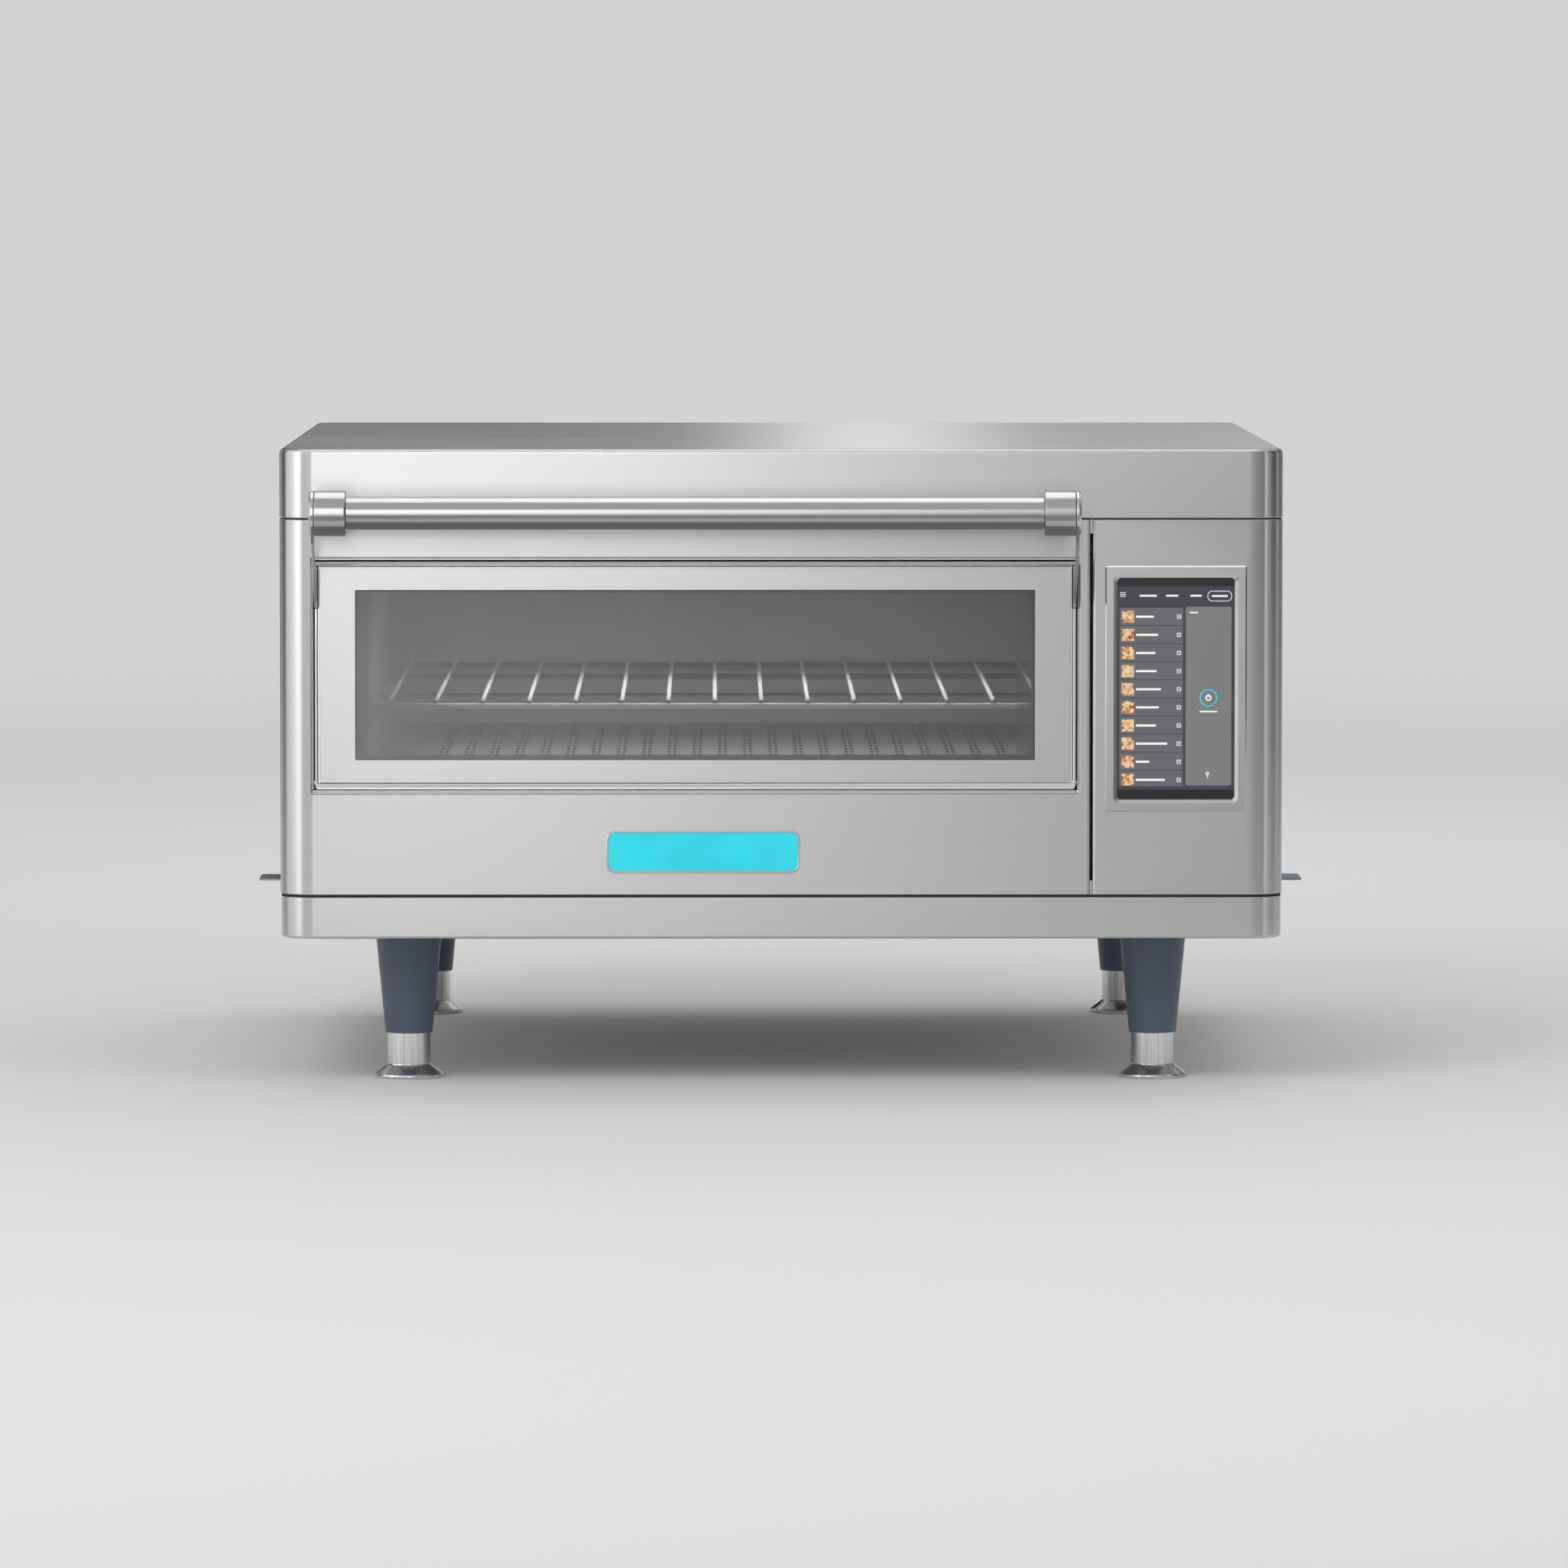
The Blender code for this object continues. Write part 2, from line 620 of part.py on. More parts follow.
def rear_panel():
    low = LEG_HEIGHT + REAR_PANEL_RISE
    top = TOP_HEIGHT - REAR_PANEL_DROP
    xs = (LEFT + REAR_PANEL_INSET, RIGHT - REAR_PANEL_INSET)
    panel = block("rear_panel", xs, (BODY_DEPTH - SHEET, BODY_DEPTH), (low, top), STAINLESS)
    through = (BODY_DEPTH - SHEET - OVERRUN, BODY_DEPTH + OVERRUN)
    span = (PANEL_Z[0] + VENT_SILL, PANEL_Z[1] - VENT_HEADER)
    row_pitch = (span[1] - span[0] + VENT_ROW_GAP) / VENT_ROWS
    vents = []
    for row in range(VENT_ROWS):
        low = span[0] + row * row_pitch
        zs = (low, low + row_pitch - VENT_ROW_GAP)
        for i in range(VENTS_IN_ROW):
            start = LEFT + VENT_FROM_SIDE + i * VENT_PITCH
            vents.append(((start, start + VENT_WIDTH), through, zs))
    pitch = 2 * FAN_BORE / GRILLE_BARS
    for i in range(GRILLE_BARS):
        rise = (i - (GRILLE_BARS - 1) / 2) * pitch
        reach = math.sqrt(FAN_BORE**2 - (abs(rise) + GRILLE_SLOT / 2) ** 2)
        zs = (FAN_Z + rise - GRILLE_SLOT / 2, FAN_Z + rise + GRILLE_SLOT / 2)
        vents.append(((FAN_X - reach, FAN_X + reach), through, zs))
    cut(panel, blocks("rear_vents", vents))
    start = at(GLAND_X, through[0], GLAND_Z)
    end = at(GLAND_X, through[1], GLAND_Z)
    cut(panel, rod("gland_hole", start, end, GLAND_NECK + CLEARANCE))
    return panel


# Legs and feet
LEG_TOP_RADIUS = 0.0235
LEG_FOOT_RADIUS = 0.0167
LEG_STUD_RADIUS = 0.005
LEG_STUD = 0.010
POST_TOP_RADIUS = 0.0150
POST_CHAMFER = 0.0012
POST_ENGAGED = 0.025
BORE_SPARE = 0.004
FLANGE_RIM = 0.0030
FLANGE_CONE = 0.0063
RIM_CHAMFER = 0.0006


def leg_places():
    xs = (LEFT + LEG_INSET_X, RIGHT - LEG_INSET_X)
    depths = (LEG_INSET_DEPTH, BODY_DEPTH - LEG_INSET_DEPTH)
    return [(x, depth) for depth in depths for x in xs]


def leg(name, x, depth):
    top = LEG_HEIGHT - CLEARANCE
    bore = FOOT_POST_RADIUS + CLEARANCE
    roof = FOOT_SHOWN + POST_ENGAGED + BORE_SPARE
    profile = [
        (0, top + LEG_STUD),
        (LEG_STUD_RADIUS, top + LEG_STUD),
        (LEG_STUD_RADIUS, top),
        (LEG_TOP_RADIUS, top),
        (LEG_FOOT_RADIUS, FOOT_SHOWN),
        (bore, FOOT_SHOWN),
        (bore, roof),
        (0, roof),
    ]
    return turned(name, profile, at(x, depth, 0), (0, 0, 1), PAINTED_LEG)


def foot(name, x, depth):
    head = FOOT_SHOWN + POST_ENGAGED
    profile = [
        (0, head),
        (POST_TOP_RADIUS - POST_CHAMFER, head),
        (POST_TOP_RADIUS, head - POST_CHAMFER),
        (FOOT_POST_RADIUS, FLANGE_RIM + FLANGE_CONE),
        (FOOT_FLANGE_RADIUS - RIM_CHAMFER, FLANGE_RIM),
        (FOOT_FLANGE_RADIUS, FLANGE_RIM - RIM_CHAMFER),
        (FOOT_FLANGE_RADIUS, RIM_CHAMFER),
        (FOOT_FLANGE_RADIUS - RIM_CHAMFER, 0),
        (0, 0),
    ]
    return turned(name, profile, at(x, depth, 0), (0, 0, 1), BRIGHT_STEEL)


# Door
HANDLE_CAP_LENGTH = 0.0256
HANDLE_BOSS = 0.0012
CAP_CHAMFER = 0.0012
ARM_SHEET = 0.0022
ARM_ROOT = 0.0326
ARM_ROOT_TOP = 0.0025
ARM_TAIL = 0.008
ARM_OFFSET = 0.003
FRAME_WALL = 0.002
FACE_GROOVE = 0.0013
DOOR_TOP_RADIUS = 0.0036
DOOR_SIDE_RADIUS = 0.0018
HINGE_BLOCK = 0.013
HINGE_BLOCK_RISE = 0.012
PIN_IN_DOOR = 0.010
BRACKET_WIDTH = 0.0035
BRACKET_SETBACK = 0.0005
BRACKET_REACH = 0.010
SPACER_GRIP = 0.004
WINDOW_LEDGE = 0.0015
LINER_SHEET = 0.0012
SEAL_WIDTH = 0.004
SEAL_MARGIN = 0.0008

FACE_X = (DOOR_X[0] + FACE_SIDE, DOOR_X[1] - FACE_SIDE)
FACE_Z = (DOOR_Z[0] + FACE_BOTTOM, DOOR_Z[1] - FACE_TOP)
RECESS_DEPTH = SHEET + CLEARANCE
WEB_BACK = RECESS_DEPTH + SHEET
CAP_INNER_X = (
    DOOR_X[0] - HANDLE_BOSS + HANDLE_CAP_LENGTH,
    DOOR_X[1] + HANDLE_BOSS - HANDLE_CAP_LENGTH,
)
INNER_GLASS_DEPTHS = (
    DOOR_DEPTH - LINER_SHEET - CLEARANCE - INNER_GLASS,
    DOOR_DEPTH - LINER_SHEET - CLEARANCE,
)


def door_frame():
    corners = [
        (0, DOOR_Z[0]), (DOOR_FRAME_DEPTH, DOOR_Z[0]),
        (DOOR_FRAME_DEPTH, DOOR_Z[1]), (0, DOOR_Z[1]),
    ]
    section = rounded(corners, [DOOR_BOTTOM_RADIUS, 0, 0, DOOR_TOP_RADIUS], BEND_STEPS + 1)
    frame = prism("door_frame", "depth z", section, DOOR_X, BRIGHT_STEEL)
    rounded_to = FRONT_Y + (DOOR_BOTTOM_RADIUS + DOOR_FRAME_DEPTH) / 2
    soften(
        frame,
        DOOR_SIDE_RADIUS,
        BEND_STEPS,
        lambda a, b: 1.0 if max(a.y, b.y) < rounded_to and abs(a.x - b.x) < CLEARANCE else 0.0,
    )
    recess_x = grown(FACE_X, FACE_GROOVE)
    recess_z = grown(FACE_Z, FACE_GROOVE)
    cut(frame, block("face_recess", recess_x, (-OVERRUN, RECESS_DEPTH), recess_z))
    pocket_x = grown(DOOR_X, -FRAME_WALL)
    pocket_z = grown(DOOR_Z, -FRAME_WALL)
    back = DOOR_FRAME_DEPTH + OVERRUN
    cut(frame, block("frame_pocket", pocket_x, (WEB_BACK, back), pocket_z))
    hole_x = grown(WINDOW_X, CLEARANCE)
    hole_z = grown(WINDOW_Z, CLEARANCE)
    cut(frame, block("window_hole", hole_x, (0, back), hole_z))
    rise = (DOOR_Z[0] + FRAME_WALL / 2, DOOR_Z[0] + HINGE_BLOCK_RISE)
    for side, edge in ((1, DOOR_X[0]), (-1, DOOR_X[1])):
        xs = sorted((edge + side * FRAME_WALL / 2, edge + side * HINGE_BLOCK))
        depths = (RECESS_DEPTH + SHEET / 2, DOOR_FRAME_DEPTH)
        fuse(frame, block(f"hinge_block_{side}", xs, depths, rise))
    reach = OVERRUN + HINGE_BLOCK
    for side, edge in ((1, DOOR_X[0]), (-1, DOOR_X[1])):
        start = at(edge - side * OVERRUN, HINGE_DEPTH, HINGE_Z)
        end = at(edge + side * reach, HINGE_DEPTH, HINGE_Z)
        hole = rod(f"frame_pin_hole_{side}", start, end, PIN_RADIUS + CLEARANCE, sides=FINE_SIDES)
        cut(frame, hole)
        xs = sorted((edge - side * OVERRUN, edge + side * (ARM_SHEET + CLEARANCE)))
        zs = grown(ARM_ROOT_Z, CLEARANCE)
        slot = block(f"arm_notch_{side}", xs, (-OVERRUN, ARM_TAIL + CLEARANCE), zs)
        cut(frame, slot)
    return frame


def door_face_plate():
    plate = block("door_face_plate", FACE_X, (0, SHEET), FACE_Z, STAINLESS)
    hole_x = grown(WINDOW_X, CLEARANCE)
    hole_z = grown(WINDOW_Z, CLEARANCE)
    return cut(plate, block("face_window", hole_x, (-OVERRUN, SHEET + OVERRUN), hole_z))


def door_glass():
    outer = block("window_outer", WINDOW_X, (0, GLASS), WINDOW_Z, OVEN_GLASS)
    grip = SPACER_GRIP / 2
    inner = block(
        "window_inner",
        grown(WINDOW_X, grip),
        INNER_GLASS_DEPTHS,
        grown(WINDOW_Z, grip),
        OVEN_GLASS,
    )
    depths = (GLASS + CLEARANCE, INNER_GLASS_DEPTHS[0] - CLEARANCE)
    spacer = block(
        "window_spacer",
        grown(WINDOW_X, SPACER_GRIP),
        depths,
        grown(WINDOW_Z, SPACER_GRIP),
        GALVANISED,
    )
    bore = block(
        "spacer_bore",
        grown(WINDOW_X, -WINDOW_LEDGE),
        grown(depths, OVERRUN),
        grown(WINDOW_Z, -WINDOW_LEDGE),
    )
    cut(spacer, bore)
    return [outer, inner, spacer]


def door_liner():
    xs = grown(DOOR_X, -LINER_INSET)
    zs = grown(DOOR_Z, -LINER_INSET)
    front = DOOR_FRAME_DEPTH + CLEARANCE
    liner = block("door_liner", xs, (front, DOOR_DEPTH), zs, STAINLESS)
    soften(
        liner,
        BEND_RADIUS,
        BEND_STEPS,
        lambda a, b: 1.0 if min(a.y, b.y) > FRONT_Y + middle((front, DOOR_DEPTH)) else 0.0,
    )
    pocket = block(
        "liner_pocket",
        grown(xs, -LINER_SHEET),
        (front - OVERRUN, DOOR_DEPTH - LINER_SHEET),
        grown(zs, -LINER_SHEET),
    )
    hole = block(
        "liner_window",
        grown(WINDOW_X, -WINDOW_LEDGE),
        (front, DOOR_DEPTH + OVERRUN),
        grown(WINDOW_Z, -WINDOW_LEDGE),
    )
    return cut(liner, pocket, hole)


def door_seal():
    depths = (DOOR_DEPTH + CLEARANCE, FRONT_FRAME_DEPTH - CLEARANCE)
    inner_x = grown(CAVITY_X, SEAL_MARGIN)
    inner_z = grown(MOUTH_Z, SEAL_MARGIN)
    seal = block(
        "door_seal", grown(inner_x, SEAL_WIDTH), depths, grown(inner_z, SEAL_WIDTH), SEAL_ROPE
    )
    return cut(seal, block("seal_bore", inner_x, grown(depths, OVERRUN), inner_z))


ARM_ROOT_Z = (DOOR_Z[1] - ARM_ROOT, DOOR_Z[1] - ARM_ROOT_TOP)
ARM_HEAD_STEPS = 12


def touch_angle(point, centre, radius, side):
    """The angle on a circle at which a line from the point touches it."""
    away = Vector(point) - Vector(centre)
    return math.atan2(away.y, away.x) + side * math.acos(radius / away.length)


def handle():
    """The bar, its two end caps and the two flat arms that carry it."""
    centre = (-HANDLE_STANDOFF, HANDLE_Z)
    low = (0, ARM_ROOT_Z[0])
    high = (-ARM_OFFSET, ARM_ROOT_Z[1])
    first = touch_angle(low, centre, HANDLE_CAP_RADIUS, -1)
    last = touch_angle(high, centre, HANDLE_CAP_RADIUS, 1) - 2 * math.pi
    outline = [(ARM_TAIL, ARM_ROOT_Z[0]), (ARM_TAIL, ARM_ROOT_Z[1]), high]
    for step in range(ARM_HEAD_STEPS + 1):
        angle = last + (first - last) * step / ARM_HEAD_STEPS
        outline.append(
            (
                centre[0] + HANDLE_CAP_RADIUS * math.cos(angle),
                centre[1] + HANDLE_CAP_RADIUS * math.sin(angle),
            )
        )
    outline.append(low)
    pieces = []
    for name, side, edge in (("left", 1, DOOR_X[0]), ("right", -1, DOOR_X[1])):
        xs = sorted((edge, edge + side * ARM_SHEET))
        arm = prism(f"handle_arm_{name}", "depth z", outline, xs, BRIGHT_STEEL)
        axis = at(edge, -HANDLE_STANDOFF, HANDLE_Z)
        boss = [
            (0, ARM_SHEET / 2),
            (HANDLE_CAP_RADIUS - CAP_CHAMFER / 2, ARM_SHEET / 2),
            (HANDLE_CAP_RADIUS - CAP_CHAMFER, -HANDLE_BOSS),
            (0, -HANDLE_BOSS),
        ]
        fuse(arm, turned(f"arm_boss_{name}", boss, axis, (side, 0, 0)))
        cap_start = ARM_SHEET + CLEARANCE
        cap_end = HANDLE_CAP_LENGTH - HANDLE_BOSS
        cap = [
            (0, cap_end),
            (HANDLE_CAP_RADIUS - CAP_CHAMFER / 2, cap_end),
            (HANDLE_CAP_RADIUS, cap_end - CAP_CHAMFER / 2),
            (HANDLE_CAP_RADIUS, cap_start),
            (0, cap_start),
        ]
        pieces.append(arm)
        pieces.append(turned(f"handle_cap_{name}", cap, axis, (side, 0, 0), BRIGHT_STEEL))
    start = at(CAP_INNER_X[0] + CLEARANCE, -HANDLE_STANDOFF, HANDLE_Z)
    end = at(CAP_INNER_X[1] - CLEARANCE, -HANDLE_STANDOFF, HANDLE_Z)
    pieces.append(rod("handle_bar", start, end, HANDLE_RADIUS, BRIGHT_STEEL))
    return pieces


PIN_REACH = DOOR_MARGIN + BRACKET_WIDTH - CLEARANCE


def hinge_pins():
    pins = []
    for name, side, edge in (("left", 1, DOOR_X[0]), ("right", -1, DOOR_X[1])):
        start = at(edge + side * PIN_IN_DOOR, HINGE_DEPTH, HINGE_Z)
        end = at(edge - side * PIN_REACH, HINGE_DEPTH, HINGE_Z)
        pins.append(rod(f"hinge_pin_{name}", start, end, PIN_RADIUS, BRIGHT_STEEL, FINE_SIDES))
    return pins


def door():
    pieces = [door_frame(), door_face_plate(), door_liner(), door_seal()]
    pieces += door_glass() + handle() + hinge_pins()
    carry("door_hinge", at(DOOR_MIDDLE_X, HINGE_DEPTH, HINGE_Z), pieces)


# What the door closes on
def door_surround():
    depths = (0, FRONT_FRAME_DEPTH - CLEARANCE)
    ring_x = grown(OPENING_X, -CLEARANCE)
    ring_z = grown(OPENING_Z, -CLEARANCE)
    ring = block("door_surround", ring_x, depths, ring_z, BRIGHT_STEEL)
    inner_x = grown(ring_x, -SURROUND_WALL)
    inner_z = grown(ring_z, -SURROUND_WALL)
    cut(ring, block("surround_bore", inner_x, grown(depths, OVERRUN), inner_z))
    slope = SURROUND_WALL / SURROUND_BEVEL_DEPTH
    flare = block("surround_bevel", inner_x, (-OVERRUN, SURROUND_BEVEL_DEPTH), inner_z)
    spread = slope * (SURROUND_BEVEL_DEPTH + OVERRUN)
    for vertex in flare.data.vertices:
        if vertex.co.y < 0:
            vertex.co.x += math.copysign(spread, vertex.co.x)
            vertex.co.z += math.copysign(spread, vertex.co.z)
    cut(ring, flare)
    for side, edge in ((1, ring_x[0]), (-1, ring_x[1])):
        start = at(edge - side * OVERRUN, HINGE_DEPTH, HINGE_Z)
        end = at(edge + side * (SURROUND_WALL + OVERRUN), HINGE_DEPTH, HINGE_Z)
        hole = rod(f"ring_pin_hole_{side}", start, end, PIN_RADIUS + CLEARANCE, sides=FINE_SIDES)
        cut(ring, hole)
    return ring


def hinge_bracket(name, side, edge):
    xs = sorted((edge, edge - side * BRACKET_WIDTH))
    depths = (SHEET + CLEARANCE + BRACKET_SETBACK, FRONT_FRAME_DEPTH - CLEARANCE)
    bracket = block(name, xs, depths, grown((HINGE_Z, HINGE_Z), BRACKET_REACH), GALVANISED)
    start = at(xs[0] - OVERRUN, HINGE_DEPTH, HINGE_Z)
    end = at(xs[1] + OVERRUN, HINGE_DEPTH, HINGE_Z)
    hole = rod(name + "_bore", start, end, PIN_RADIUS + CLEARANCE, sides=FINE_SIDES)
    return cut(bracket, hole)


FRAME_MARGIN = 0.0055
FRAME_DROP = 0.030


def cavity_front_frame():
    xs = (LEFT + POCKET_INSET + FRAME_MARGIN, PARTITION_X[0] - CLEARANCE)
    depths = (FRONT_FRAME_DEPTH, FRONT_FRAME_DEPTH + SHEET)
    zs = (CAVITY_Z[0] - FRAME_DROP, PANEL_Z[1] - OVERLAP - FRAME_MARGIN)
    frame = block("cavity_front_frame", xs, depths, zs, STAINLESS)
    return cut(frame, block("cavity_mouth", CAVITY_X, grown(depths, OVERRUN), MOUTH_Z))


# Cavity
LEDGE_WIDTH = 0.011
LEDGE_SHEET = 0.002
RETURN_SLOTS = 6
RETURN_SLOT_SHARE = 0.525
RETURN_RADIUS_SHARE = 0.8
HEATER_RADIUS = 0.0033
HEATER_RUNS = 6
HEATER_MARGIN = 0.022
TERMINAL_REACH = 0.010
PROBE_RADIUS = 0.002
PROBE_HEAD_RADIUS = 0.006
PROBE_HEAD = 0.008
PROBE_LENGTH = 0.060
PROBE_X = 0.100
RACK_Z = MOUTH_Z[0] + RACK_HEIGHT
RACK_CROSS_Z = RACK_Z - RACK_ROD_RADIUS - RACK_CROSS_RADIUS + CLEARANCE
HEATER_Z = (MOUTH_Z[1] + JET_SHEET + CAVITY_Z[1]) / 2
WRAP_RIGHT = PARTITION_X[0] - CLEARANCE
HEATER_PITCH = (HEATER_ENDS[1] - HEATER_ENDS[0]) / (HEATER_RUNS - 1)


def heater_holes(owner, xs):
    """Cutters for the heater's two terminals where they pass a wall."""
    holes = []
    for i, depth in enumerate(HEATER_ENDS):
        start = at(xs[0] - OVERRUN, depth, HEATER_Z)
        end = at(xs[1] + OVERRUN, depth, HEATER_Z)
        name = f"{owner}_terminal_{i}"
        holes.append(rod(name, start, end, HEATER_RADIUS + CLEARANCE, sides=FINE_SIDES))
    return holes


def port_holes(owner, xs, margin=0.0):
    """Cutters for the blower's two outlets where they pass a wall."""
    depths = grown(PORT_DEPTHS, margin)
    spans = (UPPER_PORT_Z, LOWER_PORT_Z)
    return blocks(owner + "_ports", [(grown(xs, OVERRUN), depths, grown(z, margin)) for z in spans])


def cavity_liner():
    xs = grown(CAVITY_X, SHEET)
    zs = grown(CAVITY_Z, SHEET)
    liner = block("cavity_liner", xs, (CAVITY_FRONT, CAVITY_BACK + SHEET), zs, STAINLESS)
    cut(liner, block("cavity", CAVITY_X, (CAVITY_FRONT - OVERRUN, CAVITY_BACK), CAVITY_Z))
    wall_x = (CAVITY_X[1], CAVITY_X[1] + SHEET)
    cut(liner, port_holes("liner", wall_x), *heater_holes("liner", wall_x))
    reach = INTAKE_RADIUS * RETURN_RADIUS_SHARE
    pitch = (reach + reach) / RETURN_SLOTS
    slots = []
    for i in range(RETURN_SLOTS):
        shift = (i + 0.5) * pitch - reach
        start = BLOWER_DEPTH + shift
        rise = math.sqrt(reach**2 - shift**2) - CLEARANCE
        depths = grown((start, start), pitch * RETURN_SLOT_SHARE / 2)
        slots.append((grown(wall_x, OVERRUN), depths, grown((BLOWER_Z, BLOWER_Z), rise)))
    cut(liner, blocks("return_slots", slots))
    top = RACK_CROSS_Z - RACK_CROSS_RADIUS - CLEARANCE
    for side, wall in ((1, CAVITY_X[0]), (-1, CAVITY_X[1])):
        ledge_x = sorted((wall - side * SHEET / 2, wall + side * LEDGE_WIDTH))
        depths = (CAVITY_FRONT, CAVITY_BACK + SHEET / 2)
        fuse(liner, block(f"ledge_{side}", ledge_x, depths, (top - LEDGE_SHEET, top)))
    probe = rod(
        "liner_probe_hole",
        at(PROBE_X, CAVITY_BACK - OVERRUN, HEATER_Z),
        at(PROBE_X, CAVITY_BACK + SHEET + OVERRUN, HEATER_Z),
        PROBE_RADIUS + CLEARANCE,
        sides=FINE_SIDES,
    )
    return cut(liner, probe)


JET_COLUMNS = 12
JET_ROWS = 6
JET_SLOT = 0.006
JET_MARGIN = 0.020


def jet_plate(name, zs):
    """A plate that fills the cavity's plan, with staggered slots that throw the hot air."""
    xs = grown(CAVITY_X, -CLEARANCE)
    depths = (CAVITY_FRONT, CAVITY_BACK - CLEARANCE)
    plate = block(name, xs, depths, zs, STAINLESS)
    pitch = (xs[1] - xs[0] - 2 * JET_MARGIN) / JET_COLUMNS
    row_pitch = (depths[1] - depths[0] - 2 * JET_MARGIN) / JET_ROWS
    slots = []
    for column in range(JET_COLUMNS):
        x = xs[0] + JET_MARGIN + (column + 0.5) * pitch
        for row in range(JET_ROWS):
            stagger = row_pitch / 4 if column % 2 else 0
            start = depths[0] + JET_MARGIN + row * row_pitch + stagger
            slot = (start, start + row_pitch / 2)
            slots.append(((x - JET_SLOT / 2, x + JET_SLOT / 2), slot, grown(zs, OVERRUN)))
    return cut(plate, blocks(name + "_slots", slots))


def rack():
    """Rods that run back, laid on cross wires: one welded grid."""
    xs = grown(CAVITY_X, -RACK_SIDE_GAP)
    depths = (CAVITY_FRONT + RACK_FRONT_GAP, CAVITY_BACK - RACK_REAR_GAP)
    pitch = (xs[1] - xs[0] - 2 * RACK_END_MARGIN) / (RACK_RODS - 1)
    grid = None
    crosses = []
    inset = RACK_END_MARGIN / 2
    spread = depths[1] - depths[0] - 2 * inset
    for i, share in enumerate(RACK_CROSS_SHARES):
        depth = depths[0] + inset + share * spread
        start = at(xs[0], depth, RACK_CROSS_Z)
        end = at(xs[1], depth, RACK_CROSS_Z)
        name = f"rack_cross_{i}"
        crosses.append(rod(name, start, end, RACK_CROSS_RADIUS, sides=FINE_SIDES - 2))
    for i in range(RACK_RODS):
        x = xs[0] + RACK_END_MARGIN + i * pitch
        start = at(x, depths[0], RACK_Z)
        end = at(x, depths[1], RACK_Z)
        if grid is None:
            grid = rod("rack", start, end, RACK_ROD_RADIUS, CHROME_WIRE, FINE_SIDES - 2)
            fuse(grid, *crosses)
        else:
            fuse(grid, rod(f"rack_rod_{i}", start, end, RACK_ROD_RADIUS, sides=FINE_SIDES - 2))
    carry("rack_lift", at(middle(xs), middle(depths), RACK_Z), [grid])


RACK_CROSS_SHARES = (0.0, 0.235, 0.70, 1.0)


def insulation():
    """A blanket wrapped round the cavity's four sides, and one on its back."""
    inner_x = grown(CAVITY_X, SHEET + CLEARANCE)
    inner_z = grown(CAVITY_Z, SHEET + CLEARANCE)
    outer_x = (inner_x[0] - INSULATION, WRAP_RIGHT)
    outer_z = grown(inner_z, INSULATION)
    depths = (CAVITY_FRONT, CAVITY_BACK + SHEET)
    wrap = block("insulation_wrap", outer_x, depths, outer_z, FIBRE)
    cut(wrap, block("wrap_bore", inner_x, grown(depths, OVERRUN), inner_z))
    side = (inner_x[1], WRAP_RIGHT)
    cut(wrap, port_holes("wrap", side, CLEARANCE), *heater_holes("wrap", side))
    start = at(side[0] - OVERRUN, BLOWER_DEPTH, BLOWER_Z)
    end = at(side[1] + OVERRUN, BLOWER_DEPTH, BLOWER_Z)
    cut(wrap, rod("catalyst_hole", start, end, INTAKE_RADIUS + CLEARANCE))
    rear = (depths[1] + CLEARANCE, depths[1] + CLEARANCE + INSULATION)
    back = block("insulation_rear", inner_x, rear, inner_z, FIBRE)
    hole = rod(
        "probe_hole",
        at(PROBE_X, rear[0] - OVERRUN, HEATER_Z),
        at(PROBE_X, rear[1] + OVERRUN, HEATER_Z),
        PROBE_HEAD_RADIUS + RUNNING_GAP,
        sides=FINE_SIDES,
    )
    cut(back, hole)


DECK_FRONT = 0.060
DECK_REAR = 0.060
DECK_SIDE = 0.006


def cavity_deck():
    """A bridge from front to back that holds the cavity above the base pan."""
    top = CAVITY_Z[0] - SHEET - CLEARANCE - INSULATION - CLEARANCE
    floor = BASE_FLOOR + CLEARANCE
    front = DECK_FRONT
    rear = SHELL_DEPTH - DECK_REAR
    path = [(front, floor), (front, top), (rear, top), (rear, floor)]
    section = folded(path[::-1], [0, BEND_RADIUS, BEND_RADIUS, 0])
    xs = (LEFT + POCKET_INSET + DECK_SIDE, PARTITION_X[0] - CLEARANCE)
    return prism("cavity_deck", "depth z", section, xs, GALVANISED)


def column_partition():
    depths = (FLANGE + CLEARANCE, SHELL_DEPTH - POCKET_INSET - CLEARANCE)
    zs = (BASE_FLOOR + CLEARANCE, TOP_HEIGHT - SHEET - CLEARANCE)
    wall = block("column_partition", PARTITION_X, depths, zs, GALVANISED)
    cut(wall, port_holes("partition", PARTITION_X, CLEARANCE))
    cut(wall, *heater_holes("partition", PARTITION_X))
    start = at(PARTITION_X[0] - OVERRUN, BLOWER_DEPTH, BLOWER_Z)
    end = at(PARTITION_X[1] + OVERRUN, BLOWER_DEPTH, BLOWER_Z)
    return cut(wall, rod("intake_hole", start, end, INTAKE_RADIUS))


# Blower
NECK_SHEET = 0.0012
DISC_SHEET = 0.002
WHEEL_GAP = 0.005
HUB_RADIUS = 0.012
BLADES = 12
BLADE_SHEET = 0.0014
BLADE_INNER_SHARE = 0.72
BLADE_TILT = math.radians(35)
SHAFT_IN_MOTOR = 0.020
SHAFT_HOLE_SPARE = 0.003
CATALYST_THICKNESS = 0.014
CATALYST_HOLES = 7
CATALYST_HOLE_SHARE = 0.16
CATALYST_RING_SHARE = 0.6
MANIFOLD_DEPTH = 0.020
DRUM_X = (BLOWER_X, BLOWER_X + DRUM_WIDTH)
WHEEL_X = (DRUM_X[0] + SHEET + WHEEL_GAP, DRUM_X[1] - SHEET - WHEEL_GAP)


def axle(x):
    return at(x, BLOWER_DEPTH, BLOWER_Z)


